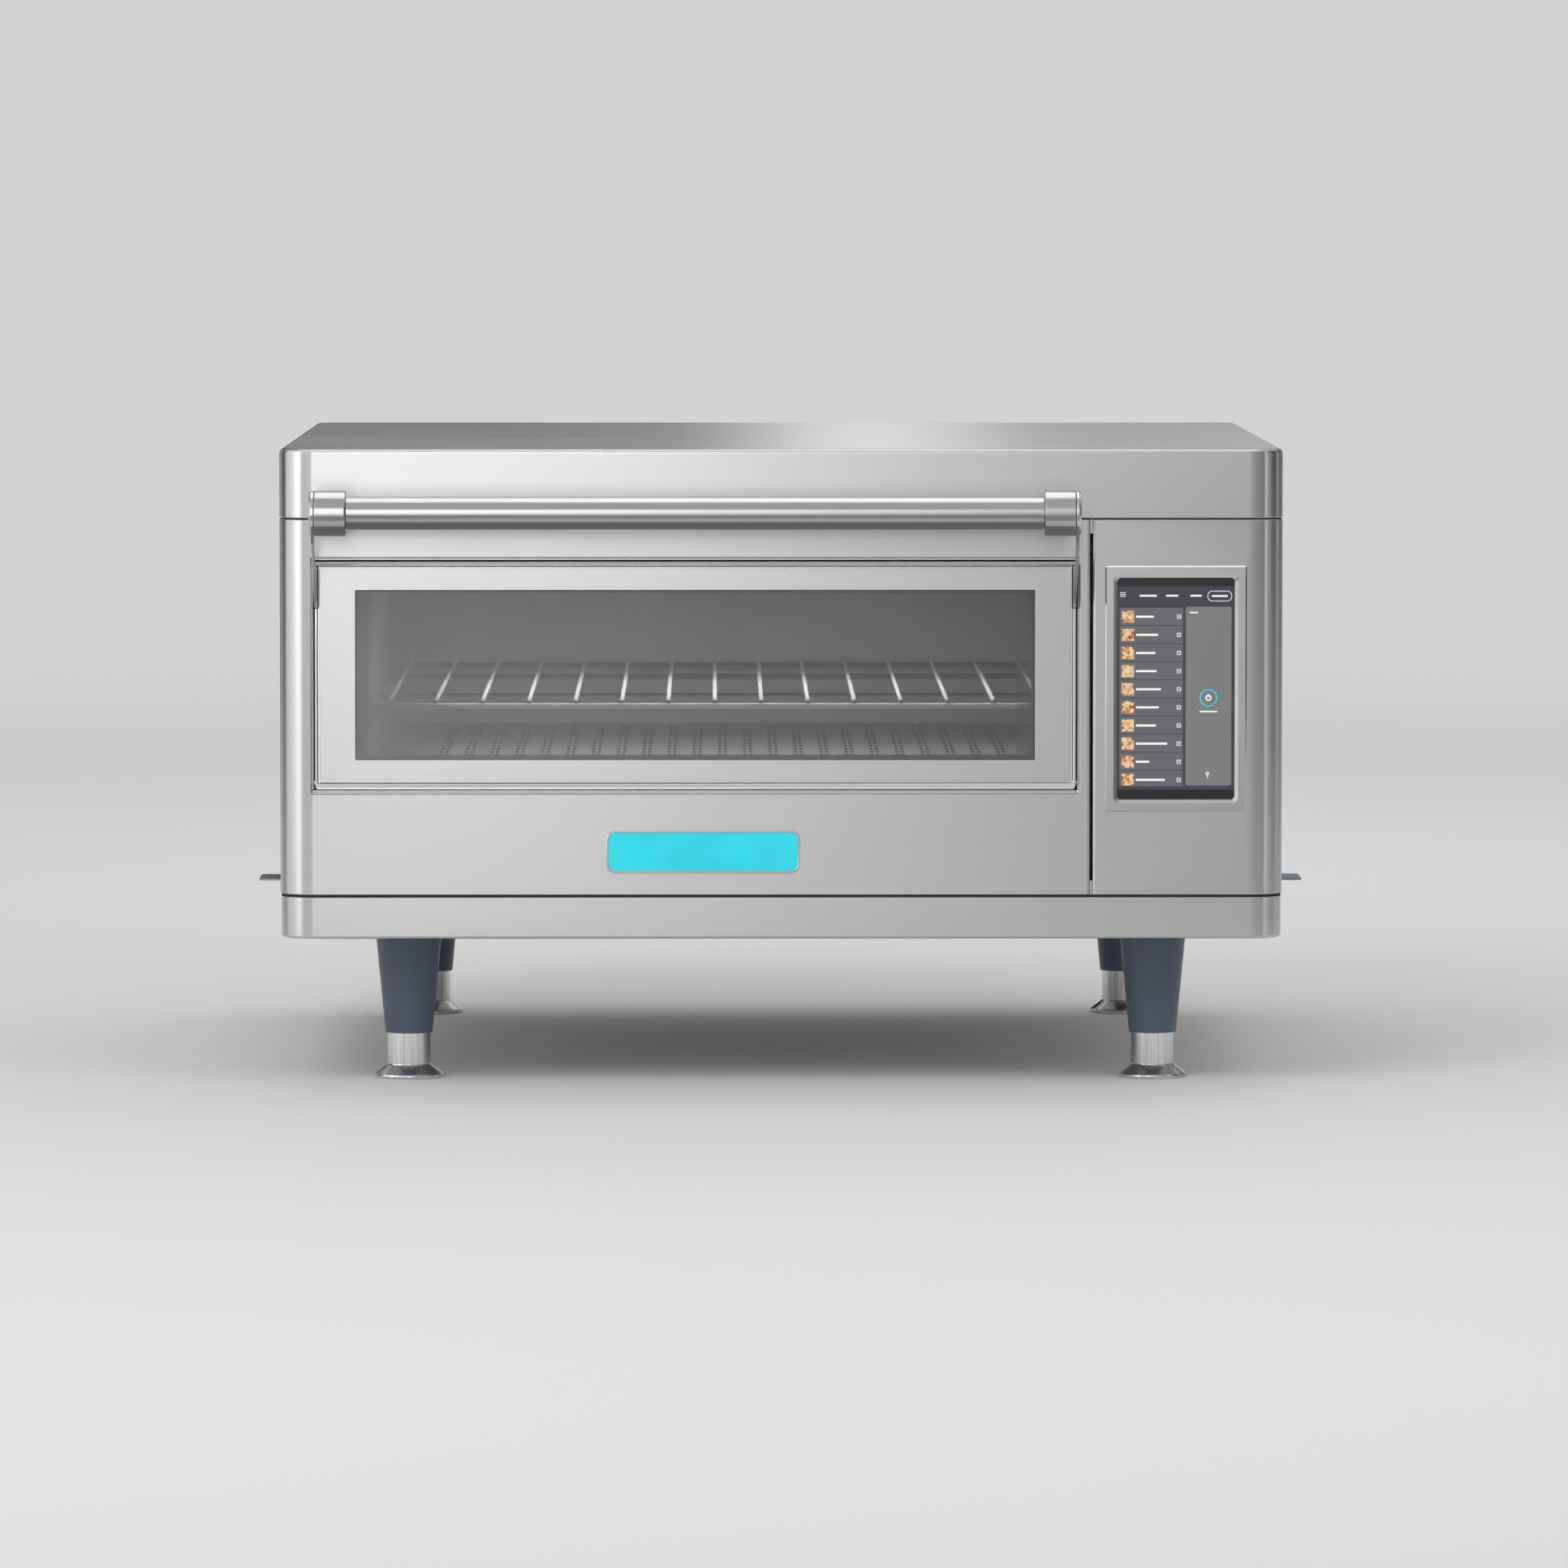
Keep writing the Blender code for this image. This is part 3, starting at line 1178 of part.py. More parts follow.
def blower_housing():
    """A drum with a manifold down its left face and a neck into each plenum."""
    drum = rod("blower_housing", axle(DRUM_X[0]), axle(DRUM_X[1]), DRUM_RADIUS, GALVANISED)
    manifold_x = (DRUM_X[0], DRUM_X[0] + MANIFOLD_DEPTH)
    neck_x = (CAVITY_X[1] + SHEET + CLEARANCE, DRUM_X[0] + SHEET)
    ports = (("upper", UPPER_PORT_Z), ("lower", LOWER_PORT_Z))
    column = (LOWER_PORT_Z[0], UPPER_PORT_Z[1])
    fuse(drum, block("manifold", manifold_x, PORT_DEPTHS, column))
    for name, zs in ports:
        fuse(drum, block(f"neck_{name}", neck_x, PORT_DEPTHS, zs))
    inside = grown(PORT_DEPTHS, -NECK_SHEET)
    cut(drum, rod("drum_bore", axle(DRUM_X[0] + SHEET), axle(DRUM_X[1] - SHEET),
                  DRUM_RADIUS - SHEET))
    cut(drum, block("manifold_bore", grown(manifold_x, -SHEET), inside,
                    grown(column, -NECK_SHEET)))
    for name, zs in ports:
        bore_x = (neck_x[0] - OVERRUN, neck_x[1] + OVERRUN)
        cut(drum, block(f"neck_bore_{name}", bore_x, inside, grown(zs, -NECK_SHEET)))
    cut(drum, rod("drum_intake", axle(DRUM_X[0] - OVERRUN), axle(DRUM_X[0] + SHEET + OVERRUN),
                  INTAKE_RADIUS))
    cut(drum, rod("shaft_hole", axle(DRUM_X[1] - SHEET - OVERRUN), axle(DRUM_X[1] + OVERRUN),
                  SHAFT_RADIUS + SHAFT_HOLE_SPARE, sides=FINE_SIDES))
    return drum


def blower_wheel():
    """A back disc with its hub and shaft, blades, and a front ring."""
    disc = WHEEL_X[1] - DISC_SHEET
    shaft_end = DRUM_X[1] + CLEARANCE + SHAFT_IN_MOTOR
    profile = [
        (0, shaft_end),
        (SHAFT_RADIUS, shaft_end),
        (SHAFT_RADIUS, WHEEL_X[1] + DISC_SHEET),
        (HUB_RADIUS, WHEEL_X[1] + DISC_SHEET),
        (HUB_RADIUS, WHEEL_X[1]),
        (WHEEL_RADIUS, WHEEL_X[1]),
        (WHEEL_RADIUS, disc),
        (HUB_RADIUS, disc),
        (HUB_RADIUS, middle(WHEEL_X)),
        (0, middle(WHEEL_X)),
    ]
    wheel = turned("blower_wheel", profile, axle(0), (1, 0, 0), BRIGHT_STEEL)
    inner = WHEEL_RADIUS * BLADE_INNER_SHARE
    chord = WHEEL_RADIUS - inner
    length = disc + DISC_SHEET / 2 - WHEEL_X[0]
    shape = bmesh.new()
    for i in range(BLADES):
        turn = Matrix.Rotation(math.tau * i / BLADES, 4, "X")
        out = Matrix.Translation((WHEEL_X[0] + length / 2, 0, inner + chord / 2))
        lean = Matrix.Rotation(BLADE_TILT, 4, "X")
        size = Matrix.Diagonal((length, BLADE_SHEET, chord, 1))
        bmesh.ops.create_cube(shape, size=1, matrix=turn @ out @ lean @ size)
    mesh = bpy.data.meshes.new("wheel_blades")
    shape.to_mesh(mesh)
    shape.free()
    fuse(wheel, place("wheel_blades", mesh, axle(0), None))
    ring = [
        (WHEEL_RADIUS, WHEEL_X[0] + DISC_SHEET),
        (WHEEL_RADIUS, WHEEL_X[0]),
        (inner, WHEEL_X[0]),
        (inner, WHEEL_X[0] + DISC_SHEET),
    ]
    fuse(wheel, turned("wheel_ring", ring, axle(0), (1, 0, 0), ring=True))
    carry("blower_axis", axle(middle(WHEEL_X)), [wheel])


MOTOR_CHAMFER = 0.005
TERMINAL_BOX = 0.024


def blower_motor():
    start = DRUM_X[1] + CLEARANCE
    end = start + MOTOR_LENGTH
    bore = SHAFT_RADIUS + CLEARANCE
    bore_end = start + SHAFT_IN_MOTOR + CLEARANCE
    profile = [
        (0, end),
        (MOTOR_RADIUS - MOTOR_CHAMFER, end),
        (MOTOR_RADIUS, end - MOTOR_CHAMFER),
        (MOTOR_RADIUS, start),
        (bore, start),
        (bore, bore_end),
        (0, bore_end),
    ]
    motor = turned("blower_motor", profile, axle(0), (1, 0, 0), MOTOR_PAINT)
    box_x = (middle((start, end)) - TERMINAL_BOX / 2, middle((start, end)) + TERMINAL_BOX / 2)
    box_z = (BLOWER_Z + MOTOR_RADIUS - MOTOR_CHAMFER, BLOWER_Z + MOTOR_RADIUS + TERMINAL_BOX / 2)
    depths = (BLOWER_DEPTH - TERMINAL_BOX / 2, BLOWER_DEPTH + TERMINAL_BOX / 2)
    return fuse(motor, block("terminal_box", box_x, depths, box_z))


def catalyst():
    """A round honeycomb in the return opening, between the cavity and the blower."""
    start = PARTITION_X[0] - CLEARANCE - CATALYST_THICKNESS
    end = PARTITION_X[0] - CLEARANCE
    disc = rod("catalyst", axle(start), axle(end), INTAKE_RADIUS - CLEARANCE, CERAMIC)
    ring = INTAKE_RADIUS * CATALYST_RING_SHARE
    for i in range(CATALYST_HOLES):
        angle = math.tau * i / (CATALYST_HOLES - 1)
        reach = ring if i < CATALYST_HOLES - 1 else 0
        offset = Vector((0, math.cos(angle) * reach, math.sin(angle) * reach))
        hole = rod(
            f"catalyst_hole_{i}",
            axle(start - OVERRUN) + offset,
            axle(end + OVERRUN) + offset,
            INTAKE_RADIUS * CATALYST_HOLE_SHARE,
            sides=FINE_SIDES,
        )
        cut(disc, hole)
    return disc


def heater_element():
    """One tube to and fro across the upper plenum, with both ends out through the right."""
    far = CAVITY_X[0] + HEATER_MARGIN
    near = CAVITY_X[1] - HEATER_MARGIN
    end = PARTITION_X[1] + TERMINAL_REACH
    corners = [(end, HEATER_ENDS[0])]
    for run in range(HEATER_RUNS - 1):
        side = near if run % 2 else far
        corners.append((side, HEATER_ENDS[0] + run * HEATER_PITCH))
        corners.append((side, HEATER_ENDS[0] + (run + 1) * HEATER_PITCH))
    corners.append((end, HEATER_ENDS[1]))
    radii = [HEATER_PITCH / 2 - CLEARANCE] * len(corners)
    line = rounded(corners, radii, CORNER_STEPS, closed=False)
    points = [at(x, depth, HEATER_Z) for x, depth in line]
    return tube("heater_element", points, HEATER_RADIUS, MOTOR_PAINT, resolution=1)


def temperature_probe():
    head = CAVITY_BACK + SHEET + CLEARANCE
    profile = [
        (0, PROBE_HEAD),
        (PROBE_HEAD_RADIUS, PROBE_HEAD),
        (PROBE_HEAD_RADIUS, 0),
        (PROBE_RADIUS, 0),
        (PROBE_RADIUS, -PROBE_LENGTH),
        (0, -PROBE_LENGTH),
    ]
    foot_point = at(PROBE_X, head, HEATER_Z)
    return turned(
        "temperature_probe", profile, foot_point, (0, 1, 0), BRIGHT_STEEL, FINE_SIDES
    )


# Display column
SCREEN_SILL = 0.06645
SCREEN_HEADER = 0.04035
SCREEN_INNER_SIDE = 0.0182
SCREEN_OUTER_SIDE = 0.0348
SCREEN_THICKNESS = 0.0038
SCREEN_CORNER = 0.003
SCREEN_FRONT = -0.0002
BEZEL_SIDE = 0.0085
BEZEL_END = 0.0080
BEZEL_SHEET = 0.0012
BEZEL_BEVEL = 0.0025
BEZEL_EDGE = 0.0006
COLLAR_WALL = 0.0015
MODULE_DEPTH = 0.016
MODULE_MARGIN = 0.002
BOARD_SHEET = 0.0016
BOARD_STANDOFF = 0.004
BOARD_PEG = 0.003
BOARD_PEG_INSET = 0.012
SCREEN_X = (SEAM_X + SCREEN_INNER_SIDE, RIGHT - SCREEN_OUTER_SIDE)
SCREEN_Z = (PANEL_Z[0] + SCREEN_SILL, PANEL_Z[1] - SCREEN_HEADER)
COLLAR_X = grown(SCREEN_X, CLEARANCE + COLLAR_WALL)
COLLAR_Z = grown(SCREEN_Z, CLEARANCE + COLLAR_WALL)
BEZEL_FRONT = -CLEARANCE - BEZEL_SHEET
SCREEN_BACK = SCREEN_FRONT + SCREEN_THICKNESS


def display_bezel():
    """A raised plate with a collar that passes the panel and holds the glass."""
    xs = grown(SCREEN_X, BEZEL_SIDE)
    zs = grown(SCREEN_Z, BEZEL_END)
    plate = block("display_bezel", xs, (BEZEL_FRONT, -CLEARANCE), zs, BRIGHT_STEEL)
    soften(
        plate,
        BEZEL_EDGE,
        1,
        lambda a, b: 1.0 if max(a.y, b.y) < FRONT_Y + BEZEL_FRONT / 2 else 0.0,
    )
    collar = (BEZEL_FRONT + BEZEL_SHEET / 2, SCREEN_BACK)
    fuse(plate, block("bezel_collar", COLLAR_X, collar, COLLAR_Z))
    bore_x = grown(SCREEN_X, CLEARANCE)
    bore_z = grown(SCREEN_Z, CLEARANCE)
    cut(plate, block("bezel_bore", bore_x, (BEZEL_FRONT - OVERRUN, SCREEN_BACK + OVERRUN), bore_z))
    run = BEZEL_FRONT - SCREEN_FRONT
    slope = BEZEL_BEVEL / abs(run)
    flare = block("bezel_flare", bore_x, (BEZEL_FRONT - OVERRUN, SCREEN_FRONT), bore_z)
    spread = slope * (abs(run) + OVERRUN)
    for vertex in flare.data.vertices:
        if vertex.co.y < 0:
            vertex.co.x += math.copysign(spread, vertex.co.x)
            vertex.co.z += math.copysign(spread, vertex.co.z)
    return cut(plate, flare)


def touch_screen():
    outline = rounded_plate(SCREEN_X, SCREEN_Z, SCREEN_CORNER)
    return prism("touch_screen", "x z", outline, (SCREEN_FRONT, SCREEN_BACK), BLACK_GLASS)


def display_module():
    start = SCREEN_BACK + CLEARANCE
    xs = grown(COLLAR_X, MODULE_MARGIN)
    zs = grown(COLLAR_Z, MODULE_MARGIN)
    return block("display_module", xs, (start, start + MODULE_DEPTH), zs, DARK_PLASTIC)


# Each chip as shares of the board: across, up, its width, its height, and of CHIP_HEIGHT
CHIP_SHARES = (
    (0.30, 0.70, 0.30, 0.25, 0.4),
    (0.70, 0.35, 0.22, 0.14, 0.9),
    (0.30, 0.25, 0.20, 0.12, 0.6),
)
CHIP_HEIGHT = 0.016


def control_board():
    """The main board behind the display, on four pegs, with its chips and relays."""
    start = SCREEN_BACK + CLEARANCE + MODULE_DEPTH + CLEARANCE
    front = start + BOARD_STANDOFF
    depths = (front, front + BOARD_SHEET)
    board = block("control_board", COLLAR_X, depths, COLLAR_Z, BOARD_GREEN)
    width = COLLAR_X[1] - COLLAR_X[0]
    height = COLLAR_Z[1] - COLLAR_Z[0]
    for i, x in enumerate(grown(COLLAR_X, -BOARD_PEG_INSET)):
        for j, z in enumerate(grown(COLLAR_Z, -BOARD_PEG_INSET)):
            peg_end = at(x, front + BOARD_SHEET / 2, z)
            peg = rod(f"board_peg_{i}{j}", at(x, start, z), peg_end, BOARD_PEG, sides=FINE_SIDES)
            fuse(board, peg)
    for i, (across, up, wide, tall, high) in enumerate(CHIP_SHARES):
        x = COLLAR_X[0] + across * width
        z = COLLAR_Z[0] + up * height
        xs = grown((x, x), wide * width / 2)
        zs = grown((z, z), tall * height / 2)
        back = depths[1] + high * CHIP_HEIGHT
        fuse(board, block(f"chip_{i}", xs, (depths[1] - BOARD_SHEET / 2, back), zs))
    return board


SUPPLY_SIDE_GAP = 0.0195
SUPPLY_WIDTH = COLUMN_WIDTH - SUPPLY_SIDE_GAP - SUPPLY_SIDE_GAP
SUPPLY_HEIGHT = 0.070
SUPPLY_LENGTH = 0.120
SUPPLY_REAR = 0.105
SUPPLY_FLANGE = 0.008


def power_supply():
    x = middle((SEAM_X, RIGHT - POCKET_INSET))
    xs = grown((x, x), SUPPLY_WIDTH / 2)
    rear = SHELL_DEPTH - SUPPLY_REAR
    depths = (rear - SUPPLY_LENGTH, rear)
    floor = BASE_FLOOR + CLEARANCE
    case = block("power_supply", xs, depths, (floor, floor + SUPPLY_HEIGHT), GALVANISED)
    foot_plate = (floor, floor + SHEET)
    return fuse(case, block("supply_foot", grown(xs, SHEET), grown(depths, SUPPLY_FLANGE), foot_plate))


# Cooling fan on the rear panel
FAN_BOSS = 0.016
FAN_STRUT = 0.004
FAN_SPIDER = 0.003
FAN_BLADES = 7
FAN_BLADE_SHEET = 0.0016
FAN_BLADE_PITCH = math.radians(38)
FAN_TIP_GAP = 0.002
FAN_SHAFT_RADIUS = 0.0025
FAN_BACK = BODY_DEPTH - SHEET - CLEARANCE
FAN_FRONT = FAN_BACK - FAN_THICKNESS


def fan_axis(depth):
    return at(FAN_X, depth, FAN_Z)


def cooling_fan():
    half = FAN_SIDE / 2
    xs = grown((FAN_X, FAN_X), half)
    zs = grown((FAN_Z, FAN_Z), half)
    frame = block("cooling_fan_frame", xs, (FAN_FRONT, FAN_BACK), zs, DARK_PLASTIC)
    bore = rod("fan_bore", fan_axis(FAN_FRONT - OVERRUN), fan_axis(FAN_BACK + OVERRUN), FAN_BORE)
    cut(frame, bore)
    spider = (FAN_BACK - FAN_SPIDER, FAN_BACK)
    strut = grown((0, 0), FAN_STRUT / 2)
    reach = FAN_BORE + OVERRUN
    across = block("fan_strut_0", grown((FAN_X, FAN_X), reach), spider,
                   (FAN_Z + strut[0], FAN_Z + strut[1]))
    upright = block("fan_strut_1", (FAN_X + strut[0], FAN_X + strut[1]), spider,
                    grown((FAN_Z, FAN_Z), reach))
    boss = rod("fan_boss", fan_axis(spider[0]), fan_axis(spider[1]), FAN_BOSS)
    fuse(frame, across, upright, boss)
    shaft = rod("fan_shaft_hole", fan_axis(spider[0] - OVERRUN), fan_axis(FAN_BACK + OVERRUN),
                FAN_SHAFT_RADIUS + CLEARANCE, sides=FINE_SIDES)
    cut(frame, shaft)
    hub_back = spider[0] - CLEARANCE
    hub_front = FAN_FRONT + FAN_SPIDER
    profile = [
        (0, FAN_BACK - CLEARANCE),
        (FAN_SHAFT_RADIUS, FAN_BACK - CLEARANCE),
        (FAN_SHAFT_RADIUS, hub_back),
        (FAN_BOSS, hub_back),
        (FAN_BOSS, hub_front),
        (0, hub_front),
    ]
    rotor = turned("cooling_fan_rotor", profile, fan_axis(0), (0, 1, 0), DARK_PLASTIC)
    inner = FAN_BOSS - FAN_SPIDER / 2
    span = FAN_BORE - FAN_TIP_GAP - inner
    chord = hub_back - hub_front
    shape = bmesh.new()
    for i in range(FAN_BLADES):
        turn = Matrix.Rotation(math.tau * i / FAN_BLADES, 4, "Y")
        out = Matrix.Translation((0, middle((hub_front, hub_back)), inner + span / 2))
        pitch = Matrix.Rotation(FAN_BLADE_PITCH, 4, "Z")
        size = Matrix.Diagonal((FAN_BLADE_SHEET, chord, span, 1))
        bmesh.ops.create_cube(shape, size=1, matrix=turn @ out @ pitch @ size)
    mesh = bpy.data.meshes.new("fan_blades")
    shape.to_mesh(mesh)
    shape.free()
    fuse(rotor, place("fan_blades", mesh, fan_axis(0), None))
    carry("fan_axis", fan_axis(middle((hub_front, hub_back))), [rotor])


GLAND_BORE = 0.007
GLAND_NUT = 0.006
GLAND_CHAMFER = 0.003


def power_gland():
    """A gland clamped through the rear panel, open for a cord."""
    inner = BODY_DEPTH - SHEET - CLEARANCE
    outer = BODY_DEPTH + CLEARANCE
    tip = BODY_DEPTH + GLAND_REACH
    profile = [
        (GLAND_FLANGE - GLAND_CHAMFER, tip),
        (GLAND_FLANGE, tip - GLAND_CHAMFER),
        (GLAND_FLANGE, outer),
        (GLAND_NECK, outer),
        (GLAND_NECK, inner),
        (GLAND_FLANGE, inner),
        (GLAND_FLANGE, inner - GLAND_NUT),
        (GLAND_BORE, inner - GLAND_NUT),
        (GLAND_BORE, tip),
    ]
    return turned(
        "power_gland", profile, at(GLAND_X, 0, GLAND_Z), (0, 1, 0), DARK_PLASTIC, ring=True
    )


# Air filters and their ducts
DUCT_SHEET = 0.0012
DUCT_RISE = 0.003
TAB_CHAMFER = 0.004
TAB_GRIP = 0.004
MESH_RIM = 0.005
MESH_OPENINGS = 6
MESH_RIB = 0.002
RAIL_WIDTH = 0.003
SLOT_DEPTHS = (
    FILTER_DEPTH - FILTER_WIDTH / 2 - RUNNING_GAP,
    FILTER_DEPTH + FILTER_WIDTH / 2 + RUNNING_GAP,
)
FILTER_Z = (PANEL_Z[0] + CLEARANCE, PANEL_Z[0] + CLEARANCE + FILTER_THICKNESS)


def filter_duct(name, side):
    """A box on the base pan's slots, with rails that the filter runs on."""
    outer_x = side * (RIGHT - POCKET_INSET - CLEARANCE)
    inner_x = side * (RIGHT - SHEET - FILTER_LENGTH - CLEARANCE - DUCT_SHEET)
    xs = sorted((outer_x, inner_x))
    depths = grown(SLOT_DEPTHS, DUCT_SHEET)
    floor = BASE_FLOOR + CLEARANCE
    top = FILTER_Z[1] + DUCT_RISE
    duct = block(name, xs, depths, (floor, top), GALVANISED)
    narrow = grown(SLOT_DEPTHS, -RAIL_WIDTH)
    rail = (FILTER_Z[0] - CLEARANCE - LEDGE_SHEET, FILTER_Z[0] - CLEARANCE)
    wide_x = grown(xs, -DUCT_SHEET)
    cut(duct, block(name + "_low", wide_x, SLOT_DEPTHS, (floor - OVERRUN, rail[0])))
    cut(duct, block(name + "_mid", wide_x, narrow, (rail[0] - OVERRUN, rail[1] + OVERRUN)))
    open_x = sorted((outer_x + side * OVERRUN, inner_x + side * DUCT_SHEET))
    cut(duct, block(name + "_high", open_x, SLOT_DEPTHS, (rail[1], top + OVERRUN)))
    return duct


def air_filter(name, side):
    """A flat frame with a mesh, and the tab that it is pulled out by."""
    inner_x = side * (RIGHT - SHEET - FILTER_LENGTH)
    outer_x = side * (RIGHT - SHEET - CLEARANCE)
    xs = sorted((outer_x, inner_x))
    depths = (FILTER_DEPTH - FILTER_WIDTH / 2, FILTER_DEPTH + FILTER_WIDTH / 2)
    frame = block(name, xs, depths, FILTER_Z, GALVANISED)
    holes = []
    start = xs[0] + MESH_RIM
    pitch = (xs[1] - xs[0] - 2 * MESH_RIM + MESH_RIB) / MESH_OPENINGS
    for i in range(MESH_OPENINGS):
        low = start + i * pitch
        hole_x = (low, low + pitch - MESH_RIB)
        holes.append((hole_x, grown(depths, -MESH_RIM), grown(FILTER_Z, OVERRUN)))
    cut(frame, blocks(name + "_mesh", holes))
    tip = side * (RIGHT + TAB_REACH)
    root = outer_x - side * TAB_GRIP
    corners = [(root, depths[0]), (tip, depths[0]), (tip, depths[1]), (root, depths[1])]
    radii = [0, TAB_CHAMFER, TAB_CHAMFER, 0]
    low = FILTER_Z[0] + (FILTER_THICKNESS - TAB_SHEET) / 2
    tab = prism(name + "_tab", "x depth", rounded(corners, radii), (low, low + TAB_SHEET))
    fuse(frame, tab)
    carry(name + "_slide", at(middle(xs), FILTER_DEPTH, middle(FILTER_Z)), [frame])


# Name plate below the door, left bare
BADGE_WIDTH = 0.136
BADGE_HEIGHT = 0.030
BADGE_SHEET = 0.0018
BADGE_RISE = 0.0304
BADGE_SHIFT = 0.0053
BADGE_CORNER = 0.006
BADGE_RIM = 0.0016
BADGE_RECESS = 0.0006


def badge():
    x = DOOR_MIDDLE_X + BADGE_SHIFT
    z = PANEL_Z[0] + BADGE_RISE
    xs = (x - BADGE_WIDTH / 2, x + BADGE_WIDTH / 2)
    zs = (z - BADGE_HEIGHT / 2, z + BADGE_HEIGHT / 2)
    front = -CLEARANCE - BADGE_SHEET
    outline = rounded_plate(xs, zs, BADGE_CORNER)
    plate = prism("badge", "x z", outline, (front, -CLEARANCE), PLATE_BLUE)
    inner_x = grown(xs, -BADGE_RIM)
    inner_z = grown(zs, -BADGE_RIM)
    face = rounded_plate(inner_x, inner_z, BADGE_CORNER - BADGE_RIM)
    return cut(plate, prism("badge_face", "x z", face, (front - OVERRUN, front + BADGE_RECESS)))


def build():
    base_pan()
    top_cover()
    front_panel()
    control_panel()
    side_panel("left_side_panel", -1)
    side_panel("right_side_panel", 1)
    rear_panel()
    corner_names = ("front_left", "front_right", "rear_left", "rear_right")
    for name, (x, depth) in zip(corner_names, leg_places()):
        leg(f"leg_{name}", x, depth)
        carry(f"{name}_screw", at(x, depth, FOOT_SHOWN), [foot(f"foot_{name}", x, depth)])
    door()
    door_surround()
    hinge_bracket("hinge_bracket_left", 1, OPENING_X[0])
    hinge_bracket("hinge_bracket_right", -1, OPENING_X[1])
    cavity_front_frame()
    cavity_liner()
    jet_plate("lower_jet_plate", (MOUTH_Z[0] - JET_SHEET, MOUTH_Z[0]))
    jet_plate("upper_jet_plate", (MOUTH_Z[1], MOUTH_Z[1] + JET_SHEET))
    rack()
    insulation()
    cavity_deck()
    column_partition()
    blower_housing()
    blower_wheel()
    blower_motor()
    catalyst()
    heater_element()
    temperature_probe()
    display_bezel()
    touch_screen()
    display_module()
    control_board()
    power_supply()
    cooling_fan()
    power_gland()
    filter_duct("filter_duct_left", -1)
    filter_duct("filter_duct_right", 1)
    air_filter("air_filter_left", -1)
    air_filter("air_filter_right", 1)
    badge()


build()
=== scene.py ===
import math

import bmesh
import bpy
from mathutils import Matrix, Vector


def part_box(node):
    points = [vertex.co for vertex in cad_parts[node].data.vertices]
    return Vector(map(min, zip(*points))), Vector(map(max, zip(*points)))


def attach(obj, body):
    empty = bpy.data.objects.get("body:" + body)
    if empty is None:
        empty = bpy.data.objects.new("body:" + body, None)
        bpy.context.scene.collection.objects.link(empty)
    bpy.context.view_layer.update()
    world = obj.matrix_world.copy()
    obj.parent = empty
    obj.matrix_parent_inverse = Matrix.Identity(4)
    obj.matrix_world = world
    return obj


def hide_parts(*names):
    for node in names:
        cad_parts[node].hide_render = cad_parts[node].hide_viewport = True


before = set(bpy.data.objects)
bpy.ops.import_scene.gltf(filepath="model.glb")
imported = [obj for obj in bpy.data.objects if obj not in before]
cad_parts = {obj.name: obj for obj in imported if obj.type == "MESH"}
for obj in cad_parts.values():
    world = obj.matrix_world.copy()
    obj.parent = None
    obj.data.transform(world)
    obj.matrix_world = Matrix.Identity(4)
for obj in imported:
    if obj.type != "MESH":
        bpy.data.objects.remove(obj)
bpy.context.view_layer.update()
print("frame loaded:", len(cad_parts), "nodes")

# The countertop speed oven: looks, light and camera. Metres, front towards -Y.


def linear(hexColour, alpha=1.0):  # sRGB hex to the linear colour that nodes take
    parts = [int(hexColour[i:i + 2], 16) / 255 for i in (1, 3, 5)]
    curve = [c / 12.92 if c <= 0.04045 else ((c + 0.055) / 1.055) ** 2.4 for c in parts]
    return (*curve, alpha)


def perMetre(sizeMm):  # how many times a pattern of this size fits in a metre
    return 1000 / sizeMm


def feed(tree, node, inputs):  # sets inputs; a node given as a value stands for its first output
    for key, value in inputs.items():
        if isinstance(value, bpy.types.Node):
            value = value.outputs[0]
        if isinstance(value, bpy.types.NodeSocket):
            tree.links.new(value, node.inputs[key])
        else:
            node.inputs[key].default_value = value


def setAll(thing, **values):
    for key, value in values.items():
        setattr(thing, key, value)


def addNode(tree, kind, inputs=None, **settings):
    made = tree.nodes.new(kind if "Node" in kind else "ShaderNode" + kind)
    setAll(made, **settings)
    feed(tree, made, inputs or {})
    return made


def calculate(tree, operation, *values, kind="Math"):
    return addNode(tree, kind, dict(enumerate(values)), operation=operation)


def mapRange(tree, value, source, target, **settings):  # takes one range of values to another
    limits = {"From Min": source[0], "From Max": source[1], "To Min": target[0], "To Max": target[1]}
    return addNode(tree, "MapRange", {"Value": value, **limits}, **settings)


def around(middle, by):
    return middle - by, middle + by


metre = 1000  # mm, the size to give a pattern whose place is scaled already


def mottle(tree, place, sizeMm, detail=2.0):  # soft noise with patches of about this size
    return addNode(tree, "TexNoise", {"Vector": place, "Scale": perMetre(sizeMm), "Detail": detail})


def crystals(tree, place, sizeMm, **settings):  # cells of about this size
    return addNode(tree, "TexVoronoi", {"Vector": place, "Scale": perMetre(sizeMm)}, **settings)


def blend(tree, share, first, second):  # sockets 6 and 7 are the two colours, and output 2 the mixed one
    return addNode(tree, "Mix", {0: share, 6: first, 7: second}, data_type="RGBA").outputs[2]


def colourRamp(tree, value, stops):  # each stop is a place and a colour, hex or linear
    made = addNode(tree, "ValToRGB", {"Fac": value})
    elements = made.color_ramp.elements
    while len(elements) < len(stops):
        elements.new(0.5)
    for element, (place, colour) in zip(elements, stops):
        element.position = place
        element.color = linear(colour) if isinstance(colour, str) else colour
    return made


def bump(tree, height, strength, deepMm):
    return addNode(tree, "Bump", {"Height": height, "Strength": strength, "Distance": deepMm / 1000})


def objectPlace(tree):
    return addNode(tree, "TexCoord").outputs["Object"]


